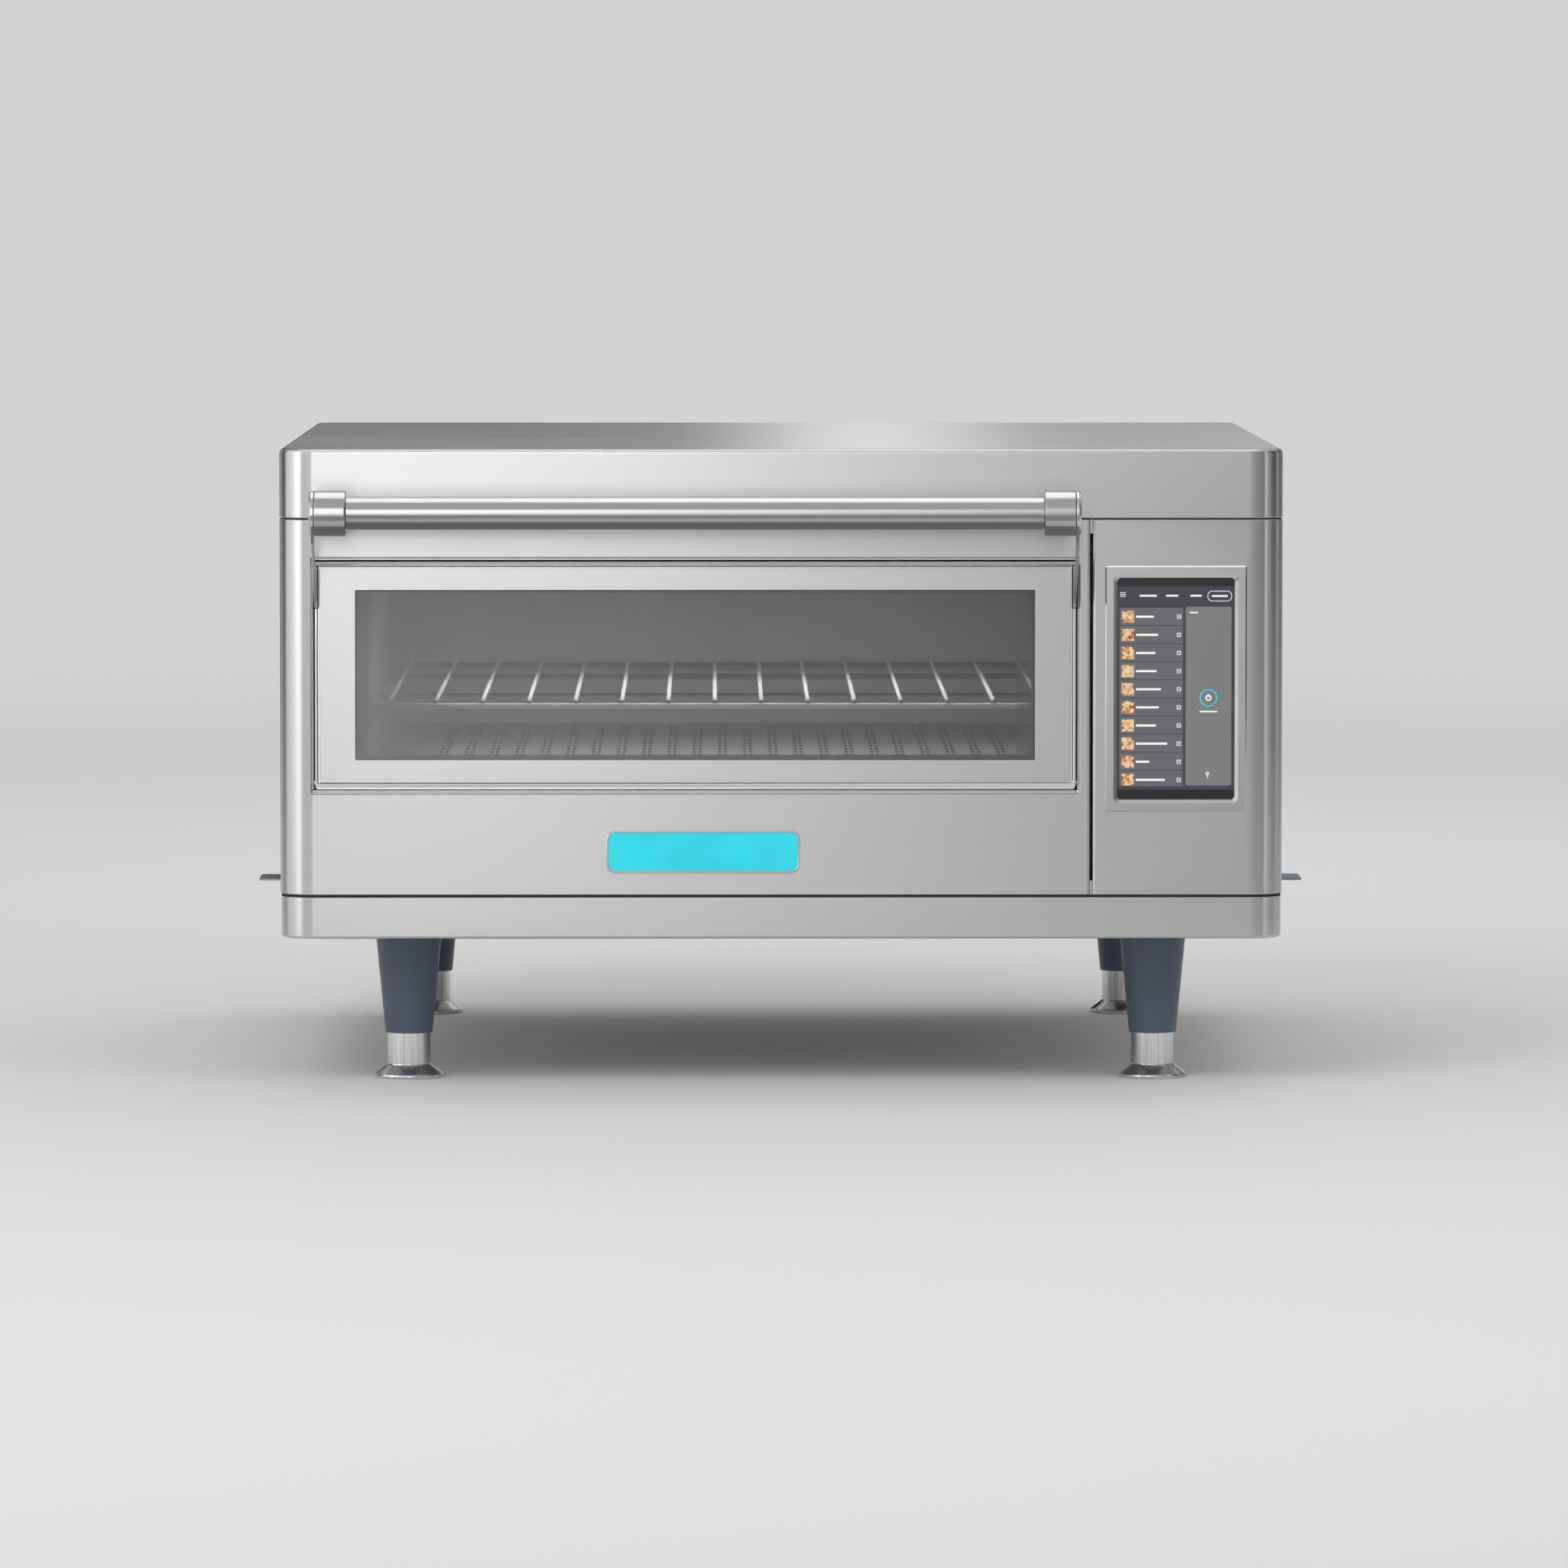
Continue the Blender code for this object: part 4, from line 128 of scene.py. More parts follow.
def layOver(tree, share, shader, top):  # a second shader that covers this share of the first
    both = addNode(tree, "MixShader", {0: share, 1: shader, 2: top})
    feed(tree, tree.nodes["Material Output"], {"Surface": both})


def startMaterial(name, look):  # a principled shader with one finish's plain values
    material = bpy.data.materials.new(name)
    material.use_nodes = True
    tree = material.node_tree
    shader = tree.nodes["Principled BSDF"]
    shader.inputs["Base Color"].default_value = linear(look["colour"])
    shader.inputs["Roughness"].default_value = look["roughness"]
    shader.inputs["Metallic"].default_value = look.get("metallic", 0.0)
    material.diffuse_color = linear(look["colour"])
    return material, tree, shader


def addObject(name, data):
    made = bpy.data.objects.new(name, data)
    bpy.context.scene.collection.objects.link(made)
    return made


def addShape(name, shape):
    mesh = bpy.data.meshes.new(name)
    shape.to_mesh(mesh)
    shape.free()
    return addObject(name, mesh)


# Camera, as the photograph was taken
view = {
    "place": (-0.045, -7.6256, 0.658),
    "pitch": -3.4925,  # degrees, down towards the oven
    "yaw": 0.367,  # degrees, towards the display
    "lensMm": 239.7,
    "sensorMm": 36,
    "reach": 200,  # m, how far it sees
}


def makeCamera():
    data = bpy.data.cameras.new("photoCamera")
    setAll(data, lens=view["lensMm"], sensor_width=view["sensorMm"], clip_end=view["reach"])
    camera = addObject("photoCamera", data)
    camera.location = view["place"]
    camera.rotation_euler = (math.radians(90 + view["pitch"]), 0, math.radians(-view["yaw"]))
    bpy.context.scene.camera = camera


makeCamera()
print("camera placed")

# Studio: a pale floor that fades into a backdrop of the same tone all round
studio = {
    "floorLook": {"colour": "#E2E2E2", "roughness": 0.95},
    "floorSpecular": 0.1,
    "backdropColour": "#D2D2D2",
    "floorRadius": 60.0,
    "fade": (1.6, 6.0),  # m from the oven, where the floor turns into backdrop
    "turns": 64,
}
# Lamps, in metres. Each one lights the surfaces; what the metal mirrors is the screens below
lamps = {
    "key": {"place": (-1.6, -3.0, 2.8), "aim": (0.0, 0.0, 0.2), "size": (2.2, 2.2), "radiance": 2.8},
    "fill": {"place": (2.4, -2.4, 2.2), "aim": (0.0, 0.0, 0.2), "size": (2.0, 2.0), "radiance": 1.2},
    "back": {"place": (0.3, 2.6, 2.4), "aim": (0.0, 0.0, 0.3), "size": (2.6, 1.2), "radiance": 1.6},
    "cavity": {"place": (-0.047, 0.03, 0.352), "aim": (-0.047, 0.05, 0.0), "size": (0.42, 0.6), "radiance": 7.4},
}
# Cloth screens round the oven, seen only by its metal and glass, which mirror them. A bearing is
# in degrees from the front, to the right as the camera sees it. The cloth glows from the first
# level at its smaller bearing to the last, and falls to lowShare of that at its foot
plainCard = {"bearing": 0, "sideways": 0, "tilt": 0, "lowShare": 1.0, "oneSided": False}
ringCard = {"distance": 3.0, "middle": 1.0, "height": 2.6}
screens = {
    "frontScreen": {"bearing": 0.3, "spread": 21.0, "distance": 3.3, "middle": 0.80, "height": 1.9,
                    "levels": (3.5, 3.05, 1.97, 1.22, 0.84), "lowShare": 0.45},
    "leftShade": {**ringCard, "bearing": -26.5, "spread": 31, "levels": (0.85, 1.0)},
    "leftScreen": {**ringCard, "bearing": -72, "spread": 58, "levels": (1.0, 1.0, 1.1, 1.5, 2.3, 1.9)},
    "leftFlag": {**ringCard, "bearing": -115, "spread": 28, "levels": (0.08, 0.08)},
    "leftRim": {**ringCard, "bearing": -145, "spread": 32, "levels": (0.06, 0.3, 0.6)},
    "rightShade": {**ringCard, "bearing": 33, "spread": 42, "levels": (0.5, 0.34, 0.1)},
    "rightStrip": {**ringCard, "bearing": 57.5, "spread": 7, "levels": (0.5, 1.3, 0.5)},
    "rightFlag": {**ringCard, "bearing": 76, "spread": 30, "levels": (0.34, 0.32, 0.16, 0.0, 0.06)},
    "rightRim": {**ringCard, "bearing": 123, "spread": 64,
                 "levels": (0.06, 0.0, 0.5, 0.12, 0.14, 0.18, 0.2, 0.2, 0.18)},
    "backScreen": {"bearing": 180, "spread": 34, "distance": 3.2, "middle": 1.3, "height": 2.4,
                   "levels": (0.36, 0.33, 0.33, 0.28, 0.95, 0.04, 0.0, 0.0, 0.0, 0.0)},
    "floorFlag": {"distance": 1.975, "middle": 0.006, "height": 2.05, "width": 3.4, "tilt": 90,
                  "levels": (0.36, 0.36)},
    "overhead": {"distance": -0.62, "middle": 2.7, "height": 2.4, "width": 2.2, "tilt": 90,
                 "levels": (1.7, 1.95, 1.7)},
    "handleFlag": {"distance": 0.388, "sideways": -0.0603, "middle": 0.3835, "height": 0.036, "width": 0.54,
                   "tilt": -90, "levels": (0.22, 0.22), "oneSided": True},
}


def makeStudio():
    shape = bmesh.new()
    bmesh.ops.create_circle(shape, cap_ends=True, segments=studio["turns"], radius=studio["floorRadius"])
    floor = addShape("studioFloor", shape)
    material, tree, shader = startMaterial("matt studio paper", studio["floorLook"])
    shader.inputs["Specular IOR Level"].default_value = studio["floorSpecular"]
    place = addNode(tree, "NewGeometry").outputs["Position"]
    away = calculate(tree, "LENGTH", place, kind="VectorMath").outputs["Value"]
    fade = mapRange(tree, away, studio["fade"], (0, 1), interpolation_type="SMOOTHSTEP")
    far = addNode(tree, "Emission", {"Color": linear(studio["backdropColour"]), "Strength": 1.0})
    layOver(tree, fade, shader, far)
    floor.data.materials.append(material)


def makeLight():
    world = bpy.data.worlds.new("studioWorld")
    world.use_nodes = True
    tree = world.node_tree
    feed(tree, tree.nodes["Background"], {"Color": linear(studio["backdropColour"]), "Strength": 1.0})
    bpy.context.scene.world = world
    for name, lamp in lamps.items():
        data = bpy.data.lights.new(name, "AREA")
        data.shape = "RECTANGLE"
        data.size, data.size_y = lamp["size"]
        data.energy = lamp["radiance"] * math.pi * lamp["size"][0] * lamp["size"][1]
        head = addObject(name, data)
        head.location = lamp["place"]
        aim = Vector(lamp["aim"]) - Vector(lamp["place"])
        head.rotation_euler = aim.to_track_quat("-Z", "Y").to_euler()
        setAll(head, visible_camera=False, visible_glossy=False)


def makeCloth(name, screen, halfWide, halfTall):
    cloth = bpy.data.materials.new(name + " glowing cloth")
    cloth.use_nodes = True
    tree = cloth.node_tree
    tree.nodes.clear()
    spot = addNode(tree, "SeparateXYZ", {0: objectPlace(tree)}).outputs
    along = mapRange(tree, spot["X"], (-halfWide, halfWide), (0, 1))
    levels = screen["levels"]
    most = max(levels)
    glow = colourRamp(
        tree, along, [(i / (len(levels) - 1), (level / most,) * 3 + (1,)) for i, level in enumerate(levels)]
    )
    glow.color_ramp.interpolation = "EASE"
    rise = mapRange(tree, spot["Z"], (-halfTall, halfTall), (most * screen["lowShare"], most))
    light = addNode(tree, "Emission", {"Color": glow, "Strength": rise})
    if screen["oneSided"]:
        behind = addNode(tree, "NewGeometry").outputs["Backfacing"]
        light = addNode(tree, "MixShader", {0: behind, 1: light, 2: addNode(tree, "BsdfTransparent")})
    addNode(tree, "OutputMaterial", {"Surface": light})
    return cloth


def makeScreens():
    for name, values in screens.items():
        screen = {**plainCard, **values}
        reach = screen["distance"]
        bearing = math.radians(screen["bearing"])
        wide = screen.get("width") or 2 * reach * math.tan(math.radians(screen["spread"] / 2))
        x, z = wide / 2, screen["height"] / 2
        mesh = bpy.data.meshes.new(name)
        mesh.from_pydata([(-x, 0, -z), (x, 0, -z), (x, 0, z), (-x, 0, z)], [], [(0, 1, 2, 3)])
        mesh.materials.append(makeCloth(name, screen, x, z))
        card = addObject(name, mesh)
        card.location = (reach * math.sin(bearing), -reach * math.cos(bearing), screen["middle"])
        card.location.x += screen["sideways"]
        card.rotation_euler = (math.radians(screen["tilt"]), 0, bearing)
        setAll(card, visible_camera=False, visible_diffuse=False, visible_shadow=False)


makeStudio()
makeLight()
makeScreens()
bpy.context.scene.view_settings.view_transform = "Standard"
print("studio built")

# What the grain of all steel sheet has in common
sheetGrain = {
    "lyingFrom": 0.6,  # how far a face looks up or down before it counts as lying
    "detail": 3.0, "roughness": 0.6, "grainRange": (0.3, 0.7), "cloudRange": (0.35, 0.65),
    "smudge": (-0.006, 0.008), "reliefMm": 0.1, "up": (0.0, 0.02, 1.0),
    "turn": 0.25,  # of a circle, so that highlights spread across the grain
}


# Steel sheet of every kind: the grain runs level on the walls and from side to side on top
def steelMaterial(name, look):
    material, tree, shader = startMaterial(name, look)
    place = addNode(tree, "TexCoord").outputs
    upright = addNode(tree, "SeparateXYZ", {0: place["Normal"]}).outputs["Z"]
    lying = calculate(tree, "GREATER_THAN", calculate(tree, "ABSOLUTE", upright), sheetGrain["lyingFrom"])
    long = perMetre(look["grainLengthMm"])
    fine = perMetre(look["grainWidthMm"])
    stretch = addNode(  # sockets 4 and 5 are the two vectors, and output 1 the mixed one
        tree, "Mix", {0: lying, 4: (long, long, fine), 5: (long, fine, long)}, data_type="VECTOR"
    )
    grainPlace = calculate(tree, "MULTIPLY", place["Object"], stretch.outputs[1], kind="VectorMath")
    grain = mottle(tree, grainPlace, metre, sheetGrain["detail"])
    grain.inputs["Roughness"].default_value = sheetGrain["roughness"]
    cloud = mottle(tree, place["Object"], look["cloudMm"])
    shine = mapRange(tree, grain, sheetGrain["grainRange"], around(look["roughness"], look["roughnessSpread"]))
    smudge = mapRange(tree, cloud, sheetGrain["cloudRange"], sheetGrain["smudge"])
    facing = addNode(tree, "NewGeometry").outputs["Normal"]
    level = calculate(tree, "CROSS_PRODUCT", sheetGrain["up"], facing, kind="VectorMath")
    feed(tree, shader, {
        "Base Color": blend(tree, grain, linear(look["grainColour"]), linear(look["colour"])),
        "Roughness": calculate(tree, "ADD", shine, smudge),
        "Normal": bump(tree, grain, look["relief"], sheetGrain["reliefMm"]),
        "Tangent": calculate(tree, "NORMALIZE", level, kind="VectorMath"),
    })
    shader.inputs["Anisotropic"].default_value = look["anisotropy"]
    shader.inputs["Anisotropic Rotation"].default_value = sheetGrain["turn"]
    return material


# Stainless steel sheet, brushed with a fine belt: soft level streaks and a satin shine
brushedSteel = {
    "colour": "#CFCFCF", "grainColour": "#CACACA", "metallic": 1.0,
    "roughness": 0.26, "roughnessSpread": 0.006, "anisotropy": 0.75,
    "grainLengthMm": 90, "grainWidthMm": 0.6, "cloudMm": 160, "relief": 0.004,
}
# Stainless steel, polished: crisp bands of light with only a trace of grain
polishedSteel = {
    "colour": "#D4D4D4", "grainColour": "#D0D0D0", "metallic": 1.0,
    "roughness": 0.14, "roughnessSpread": 0.015, "anisotropy": 0.3,
    "grainLengthMm": 60, "grainWidthMm": 0.5, "cloudMm": 80, "relief": 0.01,
}
# Bright annealed stainless steel strip: whiter than the brushed sheet
brightSteel = {
    **polishedSteel, "colour": "#F0F0F0", "grainColour": "#EAEAEA",
    "roughness": 0.2, "roughnessSpread": 0.01, "anisotropy": 0.5, "relief": 0.006,
}
# Stainless steel tube of the handle, polished: a darker copy of the polished steel, a little darker than the sheet
# too, as painted shade on the bar and its caps
shadedTubeSteel = {
    **polishedSteel, "colour": "#C2C2C2", "grainColour": "#AEAEAE",
    "roughness": 0.2, "roughnessSpread": 0.02, "grainWidthMm": 0.9, "relief": 0.012,
}
# Stainless steel of the cavity, satin under a thin brown film of heat: duller, and partly matt
cavitySteel = {
    "colour": "#BDBCBA", "grainColour": "#B2B0AE", "metallic": 0.45,
    "roughness": 0.40, "roughnessSpread": 0.04, "anisotropy": 0.4,
    "grainLengthMm": 50, "grainWidthMm": 0.9, "cloudMm": 45, "relief": 0.06,
}
# Plated steel wire: rods on top pale and bright, as is the front wire; the wires below and the rods' cut ends are
# painted darker, as painted shade
rackWire = {
    "colour": "#ECECEC", "paintedShadeColour": "#8A8886", "roughness": 0.2, "bakedMm": 22, "dull": (0.16, 0.28),
    "rodsFromMm": 266.4, "frontWireMm": -268, "rodMetallic": 0.25, "wireMetallic": 1.0,
    "cutEndFacing": -0.95,  # how straight the cut end of a rod looks to the front
}


def makeRackWire():
    material, tree, shader = startMaterial("bright plated wire", rackWire)
    place = addNode(tree, "TexCoord").outputs
    spot = addNode(tree, "SeparateXYZ", {0: place["Object"]}).outputs
    facing = addNode(tree, "SeparateXYZ", {0: place["Normal"]}).outputs
    rod = calculate(tree, "GREATER_THAN", spot["Z"], rackWire["rodsFromMm"] / 1000)
    front = calculate(tree, "LESS_THAN", spot["Y"], rackWire["frontWireMm"] / 1000)
    pale = calculate(tree, "MAXIMUM", rod, front)
    # The cut ends that face the front, and the wires under the rods except the front wire, get the darker colour:
    # painted shade
    flatEnd = calculate(tree, "LESS_THAN", facing["Y"], rackWire["cutEndFacing"])
    cutEnd = calculate(tree, "MULTIPLY", flatEnd, rod)
    lower = calculate(tree, "SUBTRACT", 1.0, pale)
    paintedShadeMask = calculate(tree, "MAXIMUM", cutEnd, lower)
    baked = mottle(tree, place["Object"], rackWire["bakedMm"])
    feed(tree, shader, {
        "Base Color": blend(tree, paintedShadeMask, linear(rackWire["colour"]), linear(rackWire["paintedShadeColour"])),
        "Metallic": mapRange(tree, pale, (0, 1), (rackWire["wireMetallic"], rackWire["rodMetallic"])),
        "Roughness": mapRange(tree, baked, (0, 1), rackWire["dull"]),
    })
    return material


# Stainless steel bar, turned and drawn: fine upright streaks that break its mirror up
turnedSteel = {
    "colour": "#E6E6E6", "darkColour": "#BEBEBE", "roughness": 0.13, "metallic": 1.0,
    "streakMm": 1.1, "streakLengthMm": 160, "detail": 1.5, "relief": 0.35, "grooveMm": 0.3,
}


def makeTurnedSteel():
    material, tree, shader = startMaterial("turned stainless steel", turnedSteel)
    fine = perMetre(turnedSteel["streakMm"])
    stretch = (fine, fine, perMetre(turnedSteel["streakLengthMm"]))
    along = calculate(tree, "MULTIPLY", objectPlace(tree), stretch, kind="VectorMath")
    streak = mottle(tree, along, metre, turnedSteel["detail"])
    feed(tree, shader, {
        "Base Color": colourRamp(tree, streak, [(0.3, turnedSteel["darkColour"]), (0.55, turnedSteel["colour"])]),
        "Normal": bump(tree, streak, turnedSteel["relief"], turnedSteel["grooveMm"]),
    })
    return material


steelBrushed = steelMaterial("brushed stainless steel", brushedSteel)
steelPolished = steelMaterial("polished stainless steel", polishedSteel)
steelTubeShaded = steelMaterial("polished stainless tube painted darker", shadedTubeSteel)
steelBright = steelMaterial("bright annealed stainless steel", brightSteel)
steelCavity = steelMaterial("heat tinted stainless steel", cavitySteel)
steelTurned = makeTurnedSteel()
wirePlated = makeRackWire()


# A finish whose tones, and perhaps dullness, follow a pattern of cells
def cellMaterial(name, look):
    material, tree, shader = startMaterial(name, look)
    cells = crystals(tree, objectPlace(tree), look["cellMm"], distance=look["distance"])
    value = cells.outputs[look["follows"]]
    feed(tree, shader, {"Base Color": colourRamp(tree, value, look["tones"])})
    if "dull" in look:
        feed(tree, shader, {"Roughness": mapRange(tree, value, (0, 1), look["dull"])})
    return material


# Zinc-dipped steel sheet: flat grey with large frozen crystals of zinc
zincSheet = {
    "colour": "#A6ABAF", "tones": ((0.2, "#8C9297"), (0.9, "#A6ABAF")), "roughness": 0.45, "metallic": 1.0,
    "cellMm": 9, "distance": "EUCLIDEAN", "follows": "Color", "dull": (0.36, 0.55),
}
# Fibreglass circuit board with green solder mask: glossy, with copper tracks under it
boardMask = {
    "colour": "#1F5A3A", "tones": ((0.35, "#1F5A3A"), (0.45, "#2F7A50")), "roughness": 0.35,
    "cellMm": 2.2, "distance": "MANHATTAN", "follows": "Distance",
}
# Satin stove enamel paint on cast legs: an even blue-grey with a very fine orange peel
legPaint = {"colour": "#4E596A", "roughness": 0.40, "peelMm": 1.6}
# Hammered motor paint: small shallow dimples
motorPaint = {"colour": "#4A4E52", "roughness": 0.48, "peelMm": 3.0}
# Incoloy heater sheath, blued and browned by heat
sheathPaint = {"colour": "#4A4743", "roughness": 0.55, "peelMm": 5.0, "metallic": 0.8}
# Ceramic washcoat of the catalyst: chalky and matt
washcoat = {"colour": "#8C8577", "roughness": 0.85, "peelMm": 0.8}
# Injection-moulded ABS: dark, with a fine spark-eroded grain
mouldedPlastic = {"colour": "#26282B", "roughness": 0.55, "peelMm": 0.7}
# Wear that all paint and plastic has: broad soft clouds, lighter or darker and duller or glossier
paintWear = {"cloudMm": 35, "detail": 4.0, "tones": ((0.3, 0.92), (0.7, 1.07)), "dullBy": 0.05, "peelDeepMm": 0.3}


def paintMaterial(name, look, relief=0.12):
    material, tree, shader = startMaterial(name, look)
    place = objectPlace(tree)
    peel = mottle(tree, place, look["peelMm"])
    worn = mottle(tree, place, paintWear["cloudMm"], paintWear["detail"])
    colour = Vector(linear(look["colour"])[:3])
    feed(tree, shader, {
        "Base Color": colourRamp(tree, worn, [(at, (*(colour * share), 1)) for at, share in paintWear["tones"]]),
        "Roughness": mapRange(tree, worn, (0, 1), around(look["roughness"], paintWear["dullBy"])),
        "Normal": bump(tree, peel, relief, paintWear["peelDeepMm"]),
    })
    return material


zincDipped = cellMaterial("galvanised steel sheet", zincSheet)
enamelPaint = paintMaterial("blue grey stove enamel", legPaint)
motorEnamel = paintMaterial("hammered motor paint", motorPaint, relief=0.3)
heaterSheath = paintMaterial("heat blued sheath", sheathPaint)
catalystCoat = paintMaterial("catalyst washcoat", washcoat, relief=0.4)
absPlastic = paintMaterial("moulded ABS", mouldedPlastic, relief=0.25)
boardGreen = cellMaterial("green solder mask", boardMask)

# Borosilicate with a heat-mirror coating: lets most light by and mirrors more than bare glass does. A matt grey
# layer over it is painted glare, lighter to the left than to the right, and thick enough near its four edges to
# hide what is behind
ovenGlass = {
    "colour": "#4A4A4A", "roughness": 0.05, "ior": 2.55,
    "hazeMm": 90, "hazeRange": (0.3, 0.7), "alphaRange": (0.14, 0.18),
    "glareColours": ("#8A8A8A", "#6C6C6C"), "glareMost": 0.7, "glareLeast": 0.2,
    "leftGlareMm": (-298, -190), "rightGlareMm": (186, 150), "lowGlareMm": (229, 236), "highGlareMm": (348.5, 344),
}


def makeOvenGlass():
    material, tree, shader = startMaterial("coated oven glass", ovenGlass)
    shader.inputs["IOR"].default_value = ovenGlass["ior"]
    place = objectPlace(tree)
    haze = mottle(tree, place, ovenGlass["hazeMm"], detail=3.0)
    feed(tree, shader, {"Alpha": mapRange(tree, haze, ovenGlass["hazeRange"], ovenGlass["alphaRange"])})
    spot = addNode(tree, "SeparateXYZ", {0: place}).outputs
    # Painted glare: a thin even layer over the whole pane, thicker towards each edge
    cover = ovenGlass["glareLeast"]
    for side, axis in (("left", "X"), ("right", "X"), ("low", "Z"), ("high", "Z")):
        reach = [mm / 1000 for mm in ovenGlass[side + "GlareMm"]]
        rim = mapRange(tree, spot[axis], reach, (ovenGlass["glareMost"], 0), interpolation_type="SMOOTHSTEP")
        cover = calculate(tree, "MAXIMUM", cover, rim)
    # The painted glare is lighter at the left end and darker at the right
    ends = (ovenGlass["leftGlareMm"][0] / 1000, ovenGlass["rightGlareMm"][0] / 1000)
    tone = colourRamp(tree, mapRange(tree, spot["X"], ends, (0, 1)), list(enumerate(ovenGlass["glareColours"])))
    layOver(tree, cover, shader, addNode(tree, "BsdfDiffuse", {"Color": tone}))
    return material


glassTinted = makeOvenGlass()


# Bare panes, with smears that vary one of their values
def smearedGlass(name, look):
    material, tree, shader = startMaterial(name, look)
    smear = mottle(tree, objectPlace(tree), look["smearMm"], look["detail"])
    feed(tree, shader, {look["varies"]: mapRange(tree, smear, (0, 1), look["range"])})
    return material


# Inner pane of the door, borosilicate: nearly clear, with a faint grey body
bareGlass = {
    "colour": "#3A3C3C", "roughness": 0.04, "smearMm": 60, "detail": 2.0, "varies": "Alpha", "range": (0.06, 0.1),
}
# Black-backed cover glass of the touch display: deep and glossy
coverGlass = {
    "colour": "#1B1C1F", "roughness": 0.06, "smearMm": 25, "detail": 3.0, "varies": "Roughness",
    "range": (0.03, 0.11),
}
glassInner = smearedGlass("bare oven glass", bareGlass)
glassCover = smearedGlass("black cover glass", coverGlass)

# Vitreous enamel on the name plate: a bright even cyan under a glossy skin
plateEnamel = {"colour": "#22E4F6", "roughness": 0.22, "peelMm": 4.0}
enamelCyan = paintMaterial("cyan vitreous enamel", plateEnamel, relief=0.04)

# Ceramic wool blanket: off-white, felted and matt
ceramicWool = {"colour": "#DCD6C6", "roughness": 0.95, "peelMm": 2.5}
woolBlanket = paintMaterial("ceramic wool blanket", ceramicWool, relief=0.6)

# Braided glass-fibre seal: dark grey and matt
sealBraid = {"colour": "#4A4845", "roughness": 0.9, "peelMm": 1.2}
braidDark = paintMaterial("braided glass fibre", sealBraid, relief=0.7)

print("materials made")


def pair(stem):
    return [stem + "_left", stem + "_right"]


# Nodes that come in sets
casing = ["base_pan", "top_cover", "front_panel", "control_panel", "left_side_panel", "right_side_panel"]
arms, caps = pair("handle_arm"), pair("handle_cap")
feet = pair("foot_front") + pair("foot_rear")
# Which finish each CAD node has
finishes = {
    steelBrushed: casing + ["rear_panel", "door_face_plate"],
    steelBright: ["door_frame", "door_surround"],
    steelPolished: arms + pair("hinge_pin") + ["display_bezel", "temperature_probe", "blower_wheel", "badge"],
    steelTubeShaded: caps + ["handle_bar"],
    steelTurned: feet,
    steelCavity: ["door_liner", "cavity_front_frame", "cavity_liner", "lower_jet_plate", "upper_jet_plate"],
    wirePlated: ["rack"],
    zincDipped: pair("hinge_bracket") + pair("filter_duct") + pair("air_filter") + [
        "cavity_deck", "column_partition", "blower_housing", "power_supply",
    ],
    enamelPaint: pair("leg_front") + pair("leg_rear"),
    motorEnamel: ["blower_motor"],
    heaterSheath: ["heater_element", "window_spacer"],
    catalystCoat: ["catalyst"],
    absPlastic: ["display_module", "cooling_fan_frame", "cooling_fan_rotor", "power_gland"],
    boardGreen: ["control_board"],
    glassTinted: ["window_outer"],
    glassInner: ["window_inner"],
    glassCover: ["touch_screen"],
    woolBlanket: ["insulation_wrap", "insulation_rear"],
    braidDark: ["door_seal"],
}

# Sheet edges are folded or deburred, never knife-sharp: how far each kind is rounded, in mm
edges = {0.6: casing + caps + feet + ["door_frame", "door_surround"], 0.4: arms + ["door_face_plate", "badge"]}
mending = {
    "weldGap": 0.000002,  # m, under which two corners of the CAD mesh are one
    "flatAngle": math.radians(1),  # faces that turn less than this are one flat face
    "sharpAngle": math.radians(32),  # edges that turn more than this stay sharp
    "edgeSteps": 2,
}


def makeWeld():  # joins the loose triangles of a CAD node, and shades its rounded faces smooth
    tree = bpy.data.node_groups.new("weldAndSmooth", "GeometryNodeTree")
    for way in ("INPUT", "OUTPUT"):
        tree.interface.new_socket("Geometry", in_out=way, socket_type="NodeSocketGeometry")
    mesh = addNode(tree, "NodeGroupInput")
    for kind, values in (
        ("MergeByDistance", {"Distance": mending["weldGap"]}),
        ("RemoveAttribute", {"Name": "custom_normal"}),
        ("SetShadeSmooth", {}),
    ):
        mesh = addNode(tree, "GeometryNode" + kind, {"Geometry": mesh, **values})
    turn = addNode(tree, "GeometryNodeInputMeshEdgeAngle").outputs["Unsigned Angle"]
    sharp = calculate(tree, "GREATER_THAN", turn, mending["sharpAngle"])
    creased = addNode(
        tree, "GeometryNodeSetShadeSmooth",
        {"Geometry": mesh, "Selection": sharp, "Shade Smooth": False}, domain="EDGE",
    )
    addNode(tree, "NodeGroupOutput", {"Geometry": creased})
    return tree


weld = makeWeld()


def dressNodes():
    for material, names in finishes.items():
        for name in names:
            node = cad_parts[name]
            node.data.materials.clear()
            node.data.materials.append(material)
            node.modifiers.new("Welded", "NODES").node_group = weld
            flat = node.modifiers.new("Flat faces", "DECIMATE")
            setAll(flat, decimate_type="DISSOLVE", angle_limit=mending["flatAngle"])
            roundingMm = [size for size, owners in edges.items() if name in owners]
            if roundingMm:
                bevel = node.modifiers.new("Deburred edges", "BEVEL")
                setAll(bevel, width=roundingMm[0] / 1000, segments=mending["edgeSteps"], miter_outer="MITER_ARC")
                setAll(bevel, limit_method="ANGLE", angle_limit=mending["sharpAngle"], use_clamp_overlap=False)
            node.modifiers.new("Flat shading of flat faces", "WEIGHTED_NORMAL").keep_sharp = True


dressNodes()
print("nodes dressed")


# Pieces made here keep their points in the shared frame, with their own origin at its origin
def newPiece(name, shape, materials, body, closed=True):
    if closed:  # an open sheet keeps the side that its faces were given
        bmesh.ops.recalc_face_normals(shape, faces=shape.faces)
    piece = addShape(name, shape)
    for material in materials:
        piece.data.materials.append(material)
    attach(piece, body)
    return piece


